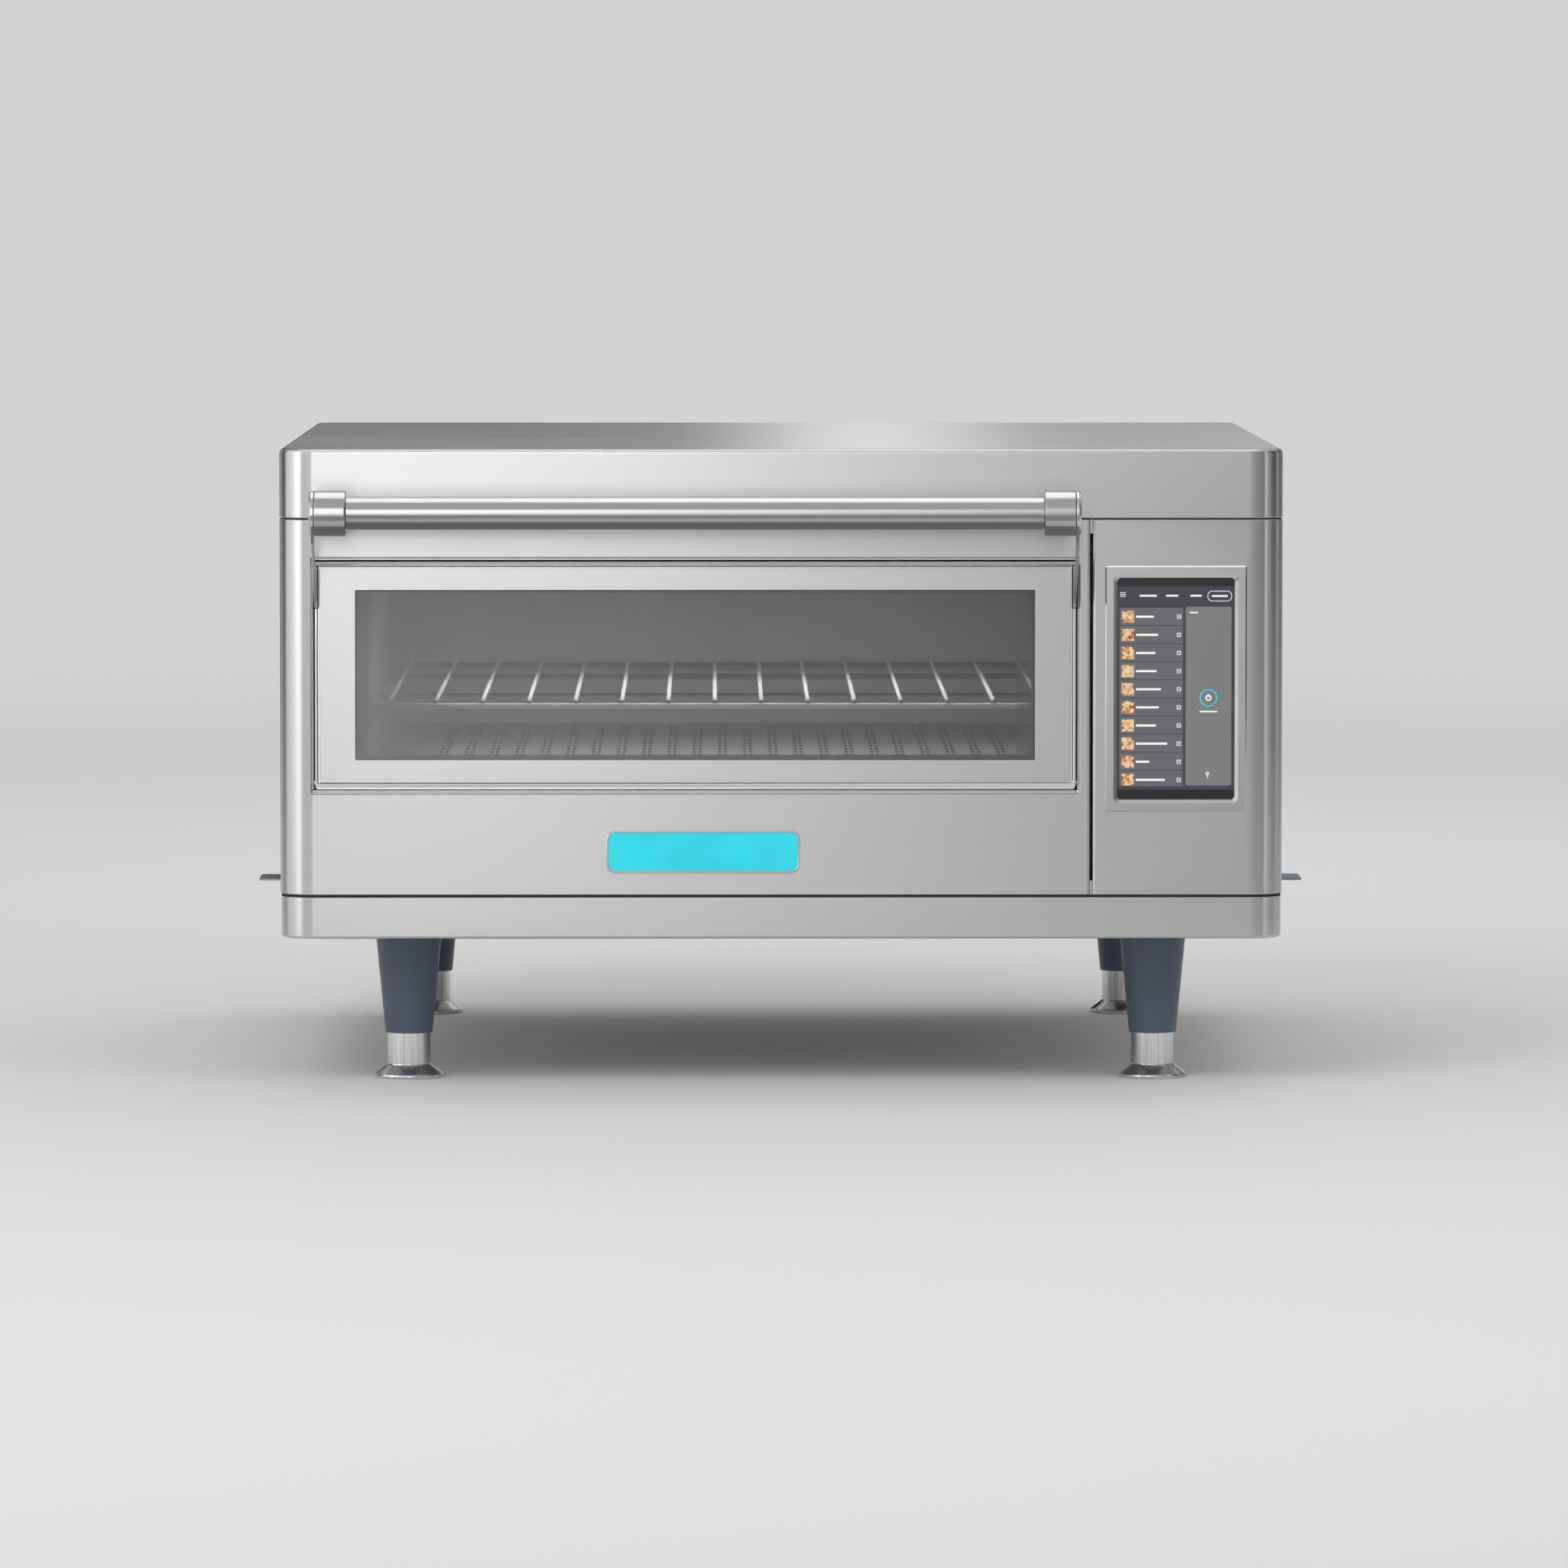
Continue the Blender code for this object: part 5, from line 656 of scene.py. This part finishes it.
def roundCorners(xs, ys, radii, steps):  # a rectangle with round corners, from high x and low y round
    places = [(xs[1], ys[0], -1, 1), (xs[1], ys[1], -1, -1), (xs[0], ys[1], 1, -1), (xs[0], ys[0], 1, 1)]
    points = []
    for turn, (radius, (x, y, inX, inY)) in enumerate(zip(radii, places)):
        for step in range(steps + 1):
            angle = math.radians(90 * (turn - 1 + step / steps))
            points.append((x + radius * (inX + math.cos(angle)), y + radius * (inY + math.sin(angle))))
    return points


def roundedOutline(xs, zs, radius, steps=6):
    return roundCorners(xs, zs, [radius] * 4, steps)


def inset(box, byMm):  # the front of a box, drawn in all round
    low, high = box
    by = byMm / 1000
    return (low[0] + by, high[0] - by), (low[2] + by, high[2] - by)


def boxCorners(low, high, axis):  # of one face of a box, along x and this axis
    return [(low[0], low[axis]), (high[0], low[axis]), (high[0], high[axis]), (low[0], high[axis])]


def bridgeLoops(shape, loops, closed=False, skipped=()):  # strips of faces from each loop of points to the next
    rings = [[shape.verts.new(point) for point in loop] for loop in loops]
    for ring, after in zip(rings, rings[1:] + rings[:1] if closed else rings[1:]):
        for i in range(len(ring)):
            if i not in skipped:
                j = (i + 1) % len(ring)
                shape.faces.new((ring[i], ring[j], after[j], after[i]))
    return rings


def flatPatch(shape, outline, y, index):  # one flat face that looks towards the front
    verts = [shape.verts.new((x, y, z)) for x, z in outline]
    face = shape.faces.new(verts)
    face.material_index = index
    face.normal_update()
    if face.normal.y > 0:
        face.normal_flip()


# A black band in the two level seams of the casing, a little behind the sheet's face: painted shade, in place of
# the shadow in the gaps
seams = {
    "hoodMm": 1.0, "baseMm": 1.6, "setbackMm": 0.8, "thicknessMm": 0.9, "slackMm": 0.05,
    "frontCornerMm": 24, "rearCornerMm": 5, "cornerSteps": 8,
    "filterFromFrontMm": (112, 168),  # where the filters slide out through the lower seam
}
# Black for the seams: painted shade
seamShadeLook = {"colour": "#0B0B0C", "roughness": 0.7, "peelMm": 2.0}
seamShade = paintMaterial("black painted seam shade", seamShadeLook, relief=0.1)


def planOutline(inward):  # the casing from above, drawn in
    low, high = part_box("front_panel")[0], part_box("control_panel")[1]
    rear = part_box("left_side_panel")[1][1]
    front, back = (seams[key] / 1000 - inward for key in ("frontCornerMm", "rearCornerMm"))
    return roundCorners(
        (low[0] + inward, high[0] - inward), (low[1] + inward, rear - inward),
        (front, back, back, front), seams["cornerSteps"],
    )


def makeSeam(name, bottom, heightMm, gap=None):
    shape = bmesh.new()
    setback, slack = seams["setbackMm"] / 1000, seams["slackMm"] / 1000
    outer = planOutline(setback)
    inner = planOutline(setback + seams["thicknessMm"] / 1000)
    skipped = ()
    if gap:  # the two straight sides are split where the filters pass
        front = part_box("front_panel")[0][1]
        near, far = (front + mm / 1000 for mm in gap)
        mark = seams["cornerSteps"] + 1
        skipped = (mark, 3 * mark + 2)
        for line in (outer, inner):
            left, right = line[3 * mark - 1][0], line[mark - 1][0]
            line[3 * mark:3 * mark] = [(left, far), (left, near)]
            line[mark:mark] = [(right, near), (right, far)]
    low, high = bottom + slack, bottom + heightMm / 1000 - slack
    loops = [[(x, y, z) for x, y in line] for line, z in ((outer, low), (outer, high), (inner, high), (inner, low))]
    rings = bridgeLoops(shape, loops, True, skipped)
    for end in (e for i in skipped for e in (i, i + 1)):
        shape.faces.new([ring[end] for ring in rings])
    newPiece(name, shape, [seamShade], "body")


makeSeam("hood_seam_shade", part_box("front_panel")[1][2], seams["hoodMm"])
makeSeam(
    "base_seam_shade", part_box("front_panel")[0][2] - seams["baseMm"] / 1000, seams["baseMm"],
    seams["filterFromFrontMm"],
)
print("seams filled")

# Sill: a folded lip of the door's surround that closes the gap under the door
sill = {"riseMm": 0.55, "setbackMm": 2.4, "sheetMm": 0.4, "wallMm": 1.6, "bevelMm": 0.1}


def makeSill():
    low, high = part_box("door_surround")
    rise, sheet, wall, bevel = (sill[key] / 1000 for key in ("riseMm", "sheetMm", "wallMm", "bevelMm"))
    floor = low[2] + wall
    front = low[1] + sill["setbackMm"] / 1000
    section = [(front, floor), (front, floor + rise - bevel), (front + bevel, floor + rise),
               (front + sheet, floor + rise), (front + sheet, floor)]
    shape = bmesh.new()
    ends = bridgeLoops(shape, [[(x, y, z) for y, z in section] for x in (low[0] + wall, high[0] - wall)])
    for end in ends:
        shape.faces.new(end)
    newPiece("door_sill_lip", shape, [steelBright], "body")


makeSill()
print("sill made")

# Jet plates: double columns of fine slots, every other column shorter
jets = {
    "columnPitchMm": 18.4, "firstColumnMm": -243.5, "columns": 23, "slotMm": 2.5, "slotLengthMm": 22,
    "pairMm": 4.1, "rowPitchMm": 37, "marginMm": 12, "shortRows": (1, 1), "shadeMm": 2.0,
}
# The plates' own sheet, scoured cleaner than the walls: less matt
steelPlate = steelMaterial("scoured stainless steel", {**cavitySteel, "metallic": 0.8})
# Black for the duct under the slots and for the slot walls: painted shade
ductShadeLook = {"colour": "#1E1D1C", "roughness": 0.8, "peelMm": 3.0}
ductShade = paintMaterial("black painted duct shade", ductShadeLook, relief=0.2)


def makeJetPlate(name, node):
    low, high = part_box(node)
    half = jets["slotMm"] / 2000
    margin = jets["marginMm"] / 1000
    xs = [(low[0], None)]
    for column in range(jets["columns"]):
        for side in (-1, 1):
            centre = (jets["firstColumnMm"] + column * jets["columnPitchMm"] + side * jets["pairMm"] / 2) / 1000
            xs += [(centre - half, column), (centre + half, None)]
    ys = [(low[1], None)]
    row = 0
    y = low[1] + margin
    length = jets["slotLengthMm"] / 1000
    while y + length < high[1] - margin:
        ys += [(y, row), (y + length, None)]
        row += 1
        y += jets["rowPitchMm"] / 1000
    shape = bmesh.new()
    marksX = [place for place, _ in xs] + [high[0]]
    marksY = [place for place, _ in ys] + [high[1]]
    grid = [[shape.verts.new((gx, gy, high[2])) for gx in marksX] for gy in marksY]
    nearRows, farRows = jets["shortRows"]
    for j, (_, slotRow) in enumerate(ys):
        for i, (_, slotColumn) in enumerate(xs):
            if slotRow is not None and slotColumn is not None:
                if slotColumn % 2 or nearRows <= slotRow < row - farRows:
                    continue
            shape.faces.new((grid[j][i], grid[j][i + 1], grid[j + 1][i + 1], grid[j + 1][i]))
    under = low[2] - jets["shadeMm"] / 1000  # a black sheet under the slots: painted shade of the duct that they open into
    ductShadeFace = shape.faces.new([shape.verts.new((*spot, under)) for spot in boxCorners(low, high, 1)])
    ductShadeFace.material_index = 1
    piece = newPiece(name, shape, [steelPlate, ductShade], "body", closed=False)
    # The sheet's rims, the walls of every slot, take the black too: painted shade
    solid = piece.modifiers.new("Sheet", "SOLIDIFY")
    setAll(solid, thickness=high[2] - low[2], offset=-1, material_offset_rim=1)
    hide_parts(node)


makeJetPlate("lower_jet_sheet", "lower_jet_plate")
makeJetPlate("upper_jet_sheet", "upper_jet_plate")
print("jet plates made")

# Touch display: a lit page of generic tiles, bars and buttons. Places are in mm from the glass's top
# left. A patch has its left, right, top and bottom, its layer and its tone, and perhaps the radius of
# its corners and the steps in each. A disc has its centre and its radius, its layer and its tone
page = {
    "glassLift": 0.00004,  # m, how far each layer lies before the one behind
    "tones": {"dark bar": "#1E1E1E", "page ground": "#3D3D47", "list row": "#636368", "card": "#787878",
              "ink": "#F2F2F2", "ring": "#2CD3E6"},
    "marginMm": 0.15, "cornerMm": 3.0, "barTopMm": 6.5, "barBottomMm": 148.9,
    "patches": (
        (1.9, 5.8, 10.6, 11.1, 3, "ink"), (1.9, 5.8, 11.85, 12.35, 3, "ink"), (1.9, 5.8, 13.1, 13.6, 3, "ink"),
        (15.5, 27.5, 12.3, 13.6, 3, "ink", 0.3), (34.0, 42.5, 12.3, 13.6, 3, "ink", 0.3),
        (51.0, 59.0, 12.3, 13.6, 3, "ink", 0.3), (66.0, 77.2, 12.5, 13.8, 5, "ink", 0.3),
        (63.0, 80.2, 9.5, 16.9, 3, "ink", 3.4, 8), (63.45, 79.75, 9.95, 16.45, 4, "page ground", 2.95, 8),
        (47.8, 79.8, 20.6, 146.1, 3, "card", 1.5), (50.4, 56.2, 24.2, 25.3, 4, "ink", 0.3),
        (63.5, 64.1, 81.6, 84.3, 8, "ink"), (57.6, 70.0, 93.6, 94.7, 4, "ink", 0.3),
        (62.85, 63.55, 138.8, 140.8, 4, "ink"),
    ),
    "discs": (
        (63.8, 84.5, 6.1, 4, "ring"), (63.8, 84.5, 5.4, 5, "card"), (63.8, 84.5, 2.196, 6, "ink"),
        (63.8, 84.5, 1.22, 7, "card"), (63.2, 137.6, 1.3, 4, "ink"), (63.2, 137.6, 0.6, 5, "card"),
    ),
    "listMm": (1.6, 45.9), "listTopMm": 21.3, "listEndMm": 146.4, "rowPitchMm": 12.71, "rowGapMm": 0.5,
    "rowItems": (  # start, width, height, layer, tone and corner; each label has a width of its own, below
        (3.1, 8.5, 8.5, 4, "food picture"), (13.0, None, 1.5, 4, "ink", 0.4), (41.6, 2.9, 2.9, 4, "ink", 0.5),
        (42.05, 2.0, 2.0, 5, "list row", 0.3), (42.5, 1.1, 0.5, 6, "ink"),
    ),
    "labelWidthsMm": (12.5, 15.5, 13.5, 14.5, 17.5, 16.0, 14.0, 22.0, 9.5, 20.5), "itemGapMm": 0.4,
}
# Pixels behind glass: all their colour is their own glow, under gloss
litGlass = {"colour": "#000000", "roughness": 0.08}
# Small pictures of food: warm browns, golds and a little cream
foodPicture = {
    "bitMm": 2.0, "crumbMm": 1.4, "glow": 0.9,
    "tones": ((0.25, "#7A4A2E"), (0.37, "#CF6A40"), (0.46, "#E5BE7E"), (0.55, "#F3E3C2"), (0.66, "#E6C48A"),
              (0.8, "#A9552F")),
}


def litMaterial(name, colour):
    material, tree, shader = startMaterial(name, litGlass)
    shader.inputs["Emission Color"].default_value = linear(colour)
    shader.inputs["Emission Strength"].default_value = 1.0
    return material


def makeFoodMaterial():
    material, tree, shader = startMaterial("lit food picture", litGlass)
    place = objectPlace(tree)
    bits = crystals(tree, place, foodPicture["bitMm"]).outputs["Color"]
    crumbs = mottle(tree, place, foodPicture["crumbMm"], detail=3.0).outputs["Color"]
    warm = colourRamp(tree, blend(tree, 0.5, bits, crumbs), foodPicture["tones"])
    feed(tree, shader, {"Emission Color": warm})
    shader.inputs["Emission Strength"].default_value = foodPicture["glow"]
    return material


def ringOutline(centre, radius, sides=32):
    return [
        (centre[0] + radius * math.cos(math.tau * i / sides), centre[1] + radius * math.sin(math.tau * i / sides))
        for i in range(sides)
    ]


def makeDisplay():
    low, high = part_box("touch_screen")
    tones = [*page["tones"], "food picture"]
    shape = bmesh.new()

    def spot(right, down):
        return low[0] + right / 1000, high[2] - down / 1000

    def lay(outline, layer, tone):
        flatPatch(shape, outline, low[1] - page["glassLift"] * layer, tones.index(tone))

    def patch(left, right, top, bottom, layer, tone, cornerMm=0.05, steps=4):
        (x, topZ), (endX, z) = spot(left, top), spot(right, bottom)
        lay(roundedOutline((x, endX), (z, topZ), cornerMm / 1000, steps), layer, tone)

    margin = page["marginMm"]
    wide, tall = ((high[axis] - low[axis]) * 1000 - margin for axis in (0, 2))
    patch(margin, wide, margin, tall, 1, "dark bar", page["cornerMm"])
    patch(margin, wide, page["barTopMm"], page["barBottomMm"], 2, "page ground")
    for values in page["patches"]:
        patch(*values)
    for right, down, radius, layer, tone in page["discs"]:
        lay(ringOutline(spot(right, down), radius / 1000), layer, tone)
    for i, labelWidth in enumerate(page["labelWidthsMm"]):
        top = page["listTopMm"] + i * page["rowPitchMm"]
        bottom = min(top + page["rowPitchMm"] - page["rowGapMm"], page["listEndMm"])
        patch(*page["listMm"], top, bottom, 3, "list row")
        centre = top + page["rowPitchMm"] / 2
        for start, width, height, *rest in page["rowItems"]:
            end = start + (width or labelWidth)
            patch(start, end, centre - height / 2, min(centre + height / 2, bottom - page["itemGapMm"]), *rest)
    glows = [litMaterial("lit " + tone, colour) for tone, colour in page["tones"].items()]
    newPiece("display_page", shape, [*glows, makeFoodMaterial()], "body", closed=False)


makeDisplay()
print("display drawn")

# Display surround: a flat plate with a bright folded edge and a bevel down to the glass
surround = {
    "edgeMm": 0.8, "edgeDropMm": 0.8, "edgeCornerMm": 0.4, "outerCornerMm": 0.8, "bevelMm": 2.5,
    "cornerMm": 4.3, "boreCornerMm": 2.8, "boreSlackMm": 0.15, "glassRiseMm": 0.1, "steps": 6,
    "sharpTurn": math.radians(19),
}


def makeSurround():
    low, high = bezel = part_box("display_bezel")
    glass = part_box("touch_screen")
    boreMm = (glass[0][0] - low[0]) * 1000 - surround["boreSlackMm"]
    plan = [  # how far in from the rim, corner radius, and depth
        (0, surround["outerCornerMm"], high[1]),
        (0, surround["outerCornerMm"], low[1] + surround["edgeDropMm"] / 1000),
        (surround["edgeMm"], surround["edgeCornerMm"], low[1]),
        (boreMm - surround["bevelMm"], surround["cornerMm"], low[1]),
        (boreMm, surround["boreCornerMm"], glass[0][1] - surround["glassRiseMm"] / 1000),
        (boreMm, surround["boreCornerMm"], high[1]),
    ]
    shape = bmesh.new()
    bridgeLoops(shape, [
        [(x, y, z) for x, z in roundedOutline(*inset(bezel, byMm), radiusMm / 1000, surround["steps"])]
        for byMm, radiusMm, y in plan
    ], True)
    shape.normal_update()
    for face in shape.faces:
        face.smooth = True
    for edge in shape.edges:
        edge.smooth = edge.calc_face_angle() < surround["sharpTurn"]
    piece = newPiece("display_surround", shape, [steelPolished], "body")
    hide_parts("display_bezel")


makeSurround()
print("display surround made")

# Door seal: a braided rope of glass fibre, pressed into a flat oval, laid round the mouth
rope = {
    "widthMm": 4.0, "cornerMm": 7.0, "cornerSteps": 8, "stepMm": 1.3, "sides": 12,
    "strandMm": 6.0, "strands": 3, "strandShare": 0.09,
}


def ropePath(box):  # points along a rounded rectangle, half a rope inside the box
    outline = roundedOutline(*inset(box, rope["widthMm"] / 2), rope["cornerMm"] / 1000, rope["cornerSteps"])
    points = []
    for i, (x, z) in enumerate(outline):
        nx, nz = outline[(i + 1) % len(outline)]
        parts = max(1, round(math.hypot(nx - x, nz - z) / (rope["stepMm"] / 1000)))
        points += [(x + (nx - x) * k / parts, z + (nz - z) * k / parts) for k in range(parts)]
    return points


def makeSeal():
    low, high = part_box("door_seal")
    path = ropePath((low, high))
    middle = (low[1] + high[1]) / 2
    halfDeep = (high[1] - low[1]) / 2
    halfWide = rope["widthMm"] / 2000
    turns = round(len(path) * rope["stepMm"] / rope["strandMm"])
    loops = []
    for i, (x, z) in enumerate(path):
        px, pz = path[i - 1]
        nx, nz = path[(i + 1) % len(path)]
        along = Vector((nx - px, 0, nz - pz)).normalized()
        out = Vector((along.z, 0, -along.x))
        loop = []
        for side in range(rope["sides"]):
            angle = math.tau * side / rope["sides"]
            braid = math.cos(rope["strands"] * angle + math.tau * turns * i / len(path))
            swell = 1 - rope["strandShare"] * (1 - braid) / 2
            place = Vector((x, middle, z)) + out * (halfWide * swell * math.cos(angle))
            place.y += halfDeep * swell * math.sin(angle)
            loop.append(place)
        loops.append(loop)
    shape = bmesh.new()
    bridgeLoops(shape, loops, True)
    for face in shape.faces:
        face.smooth = True
    piece = newPiece("door_seal_rope", shape, [braidDark], "door")
    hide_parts("door_seal")


makeSeal()
print("door seal made")

# Insulation: ceramic wool, quilted with wire. Cells are left open for the duct where their first
# corner lies in this range, front to back and low to high, and for the probe where their middle does
quilt = {
    "cellMm": 13, "cellsPerQuilt": 5, "seamShare": 0.86, "slopeShare": 0.96,
    "ductMm": ((-35, 71), (186, 375)), "probeMm": ((90, 110), (359, 378)),
}


def quiltShare(i, j):  # how thick the blanket is at a grid point, seams against pillows
    cells = quilt["cellsPerQuilt"]
    nearest = min(min(k % cells, -k % cells) for k in (i, j))
    return (quilt["seamShare"], quilt["slopeShare"])[nearest] if nearest < 2 else 1.0


def makeBlanket(name, node, countU, countV, closed, pointAt, isOpen):
    shape = bmesh.new()
    rows = countU if closed else countU + 1
    layers = [
        [[shape.verts.new(pointAt(i, j, share * (quiltShare(i, j) if share else 1))) for j in range(countV + 1)]
         for i in range(rows)] for share in (0, 1)
    ]
    kept = {(i, j) for i in range(countU) for j in range(countV) if not isOpen(i, j)}
    for i, j in kept:
        before, after = (i - 1) % rows, (i + 1) % rows
        corners = [(i, j), (after, j), (after, j + 1), (i, j + 1)]
        for layer in layers:
            face = shape.faces.new([layer[u][v] for u, v in corners])
            face.smooth = True
        for side, neighbour in enumerate([(i, j - 1), (after, j), (i, j + 1), (before, j)]):
            if neighbour not in kept:
                (u, v), (s, t) = corners[side], corners[(side + 1) % 4]
                shape.faces.new((layers[0][u][v], layers[0][s][t], layers[1][s][t], layers[1][u][v]))
    piece = newPiece(name, shape, [woolBlanket], "body")
    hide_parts(node)


def boxOutline(low, high, counts):  # points round the front of a box, so many to each side
    corners = boxCorners(low, high, 2)
    points = []
    for k, count in enumerate(counts):
        (ax, az), (bx, bz) = corners[k], corners[(k + 1) % 4]
        points += [(ax + (bx - ax) * s / count, az + (bz - az) * s / count) for s in range(count)]
    return points


def makeInsulation():
    low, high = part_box("insulation_wrap")
    innerLow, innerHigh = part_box("insulation_rear")
    cell = quilt["cellMm"] / 1000
    counts = [round((innerHigh[axis] - innerLow[axis]) / cell) for axis in (0, 2, 0, 2)]
    across, up = counts[:2]
    inner, outer = boxOutline(innerLow, innerHigh, counts), boxOutline(low, high, counts)
    depthCount = round((high[1] - low[1]) / cell)

    def wrapPoint(i, j, share):
        (ax, az), (bx, bz) = inner[i], outer[i]
        y = low[1] + (high[1] - low[1]) * j / depthCount
        return ax + (bx - ax) * share, y, az + (bz - az) * share

    (ductFront, ductBack), (ductLow, ductHigh) = quilt["ductMm"]

    def wrapOpen(i, j):
        _, y, z = wrapPoint(i, j, 0)
        onRight = across <= i < across + up
        return onRight and ductFront < y * 1000 < ductBack and ductLow < z * 1000 < ductHigh

    makeBlanket("insulation_blanket", "insulation_wrap", len(inner), depthCount, True, wrapPoint, wrapOpen)

    rearDepth = innerHigh[1] - innerLow[1]

    def rearPoint(i, j, share):
        x = innerLow[0] + (innerHigh[0] - innerLow[0]) * i / across
        z = innerLow[2] + (innerHigh[2] - innerLow[2]) * j / up
        return x, innerLow[1] + rearDepth * share, z

    (probeLeft, probeRight), (probeLow, probeHigh) = quilt["probeMm"]

    def rearOpen(i, j):
        x, _, z = rearPoint(i + 0.5, j + 0.5, 0)
        return probeLeft < x * 1000 < probeRight and probeLow < z * 1000 < probeHigh

    makeBlanket("insulation_back_blanket", "insulation_rear", across, up, False, rearPoint, rearOpen)


makeInsulation()
print("insulation made")

# Screws of the rear panel: button heads with a hexagon socket
screws = {
    "headMm": 4.5, "riseMm": 2.2, "socketMm": 1.5, "socketDeepMm": 1.3, "sinkMm": 0.2, "sides": 24,
    "profile": ((1.0, 0.3), (0.95, 0.58), (0.8, 0.83), (0.62, 0.96), (0.5, 1.0)),
    "fromEdgeMm": 9, "heightsMm": (36, 122, 208, 294), "acrossMm": (-210, 0, 210),
}


def screwRing(centre, radius, out, hexagon=False):  # points round a screw's axis, this far out of the panel
    points = []
    for side in range(screws["sides"]):
        angle = math.tau * side / screws["sides"]
        share = math.cos((angle + math.pi / 6) % (math.pi / 3) - math.pi / 6) if hexagon else 1.0
        reach = radius / share
        points.append((centre[0] + reach * math.cos(angle), centre[1] + out, centre[2] + reach * math.sin(angle)))
    return points


def makeScrews():
    low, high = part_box("rear_panel")
    edge = screws["fromEdgeMm"] / 1000
    head, rise, socket = (screws[key] / 1000 for key in ("headMm", "riseMm", "socketMm"))
    places = [(x, low[2] + mm / 1000) for x in (low[0] + edge, high[0] - edge) for mm in screws["heightsMm"]]
    places += [(mm / 1000, z) for mm in screws["acrossMm"] for z in (low[2] + edge, high[2] - edge)]
    shape = bmesh.new()
    for x, z in places:
        centre = (x, high[1], z)
        loops = [screwRing(centre, head, -screws["sinkMm"] / 1000)]
        loops += [screwRing(centre, head * across, rise * out) for across, out in screws["profile"]]
        loops += [screwRing(centre, socket, rise - deep, True) for deep in (0, screws["socketDeepMm"] / 1000)]
        rings = bridgeLoops(shape, loops)
        shape.faces.new(rings[0])
        shape.faces.new(rings[-1])
    newPiece("rear_panel_screws", shape, [steelBright], "body")


makeScrews()
print("screws made")

# Name plate: the silver rim stays steel and the sunk face is enamel
plate = {"rimMm": 1.6, "cornerMm": 4.4, "faceDeepMm": 0.35}


def makePlateFace():
    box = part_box("badge")
    shape = bmesh.new()
    outline = roundedOutline(*inset(box, plate["rimMm"]), plate["cornerMm"] / 1000)
    flatPatch(shape, outline, box[0][1] + plate["faceDeepMm"] / 1000, 0)
    newPiece("name_plate_face", shape, [enamelCyan], "body", closed=False)


makePlateFace()
print("name plate dressed")
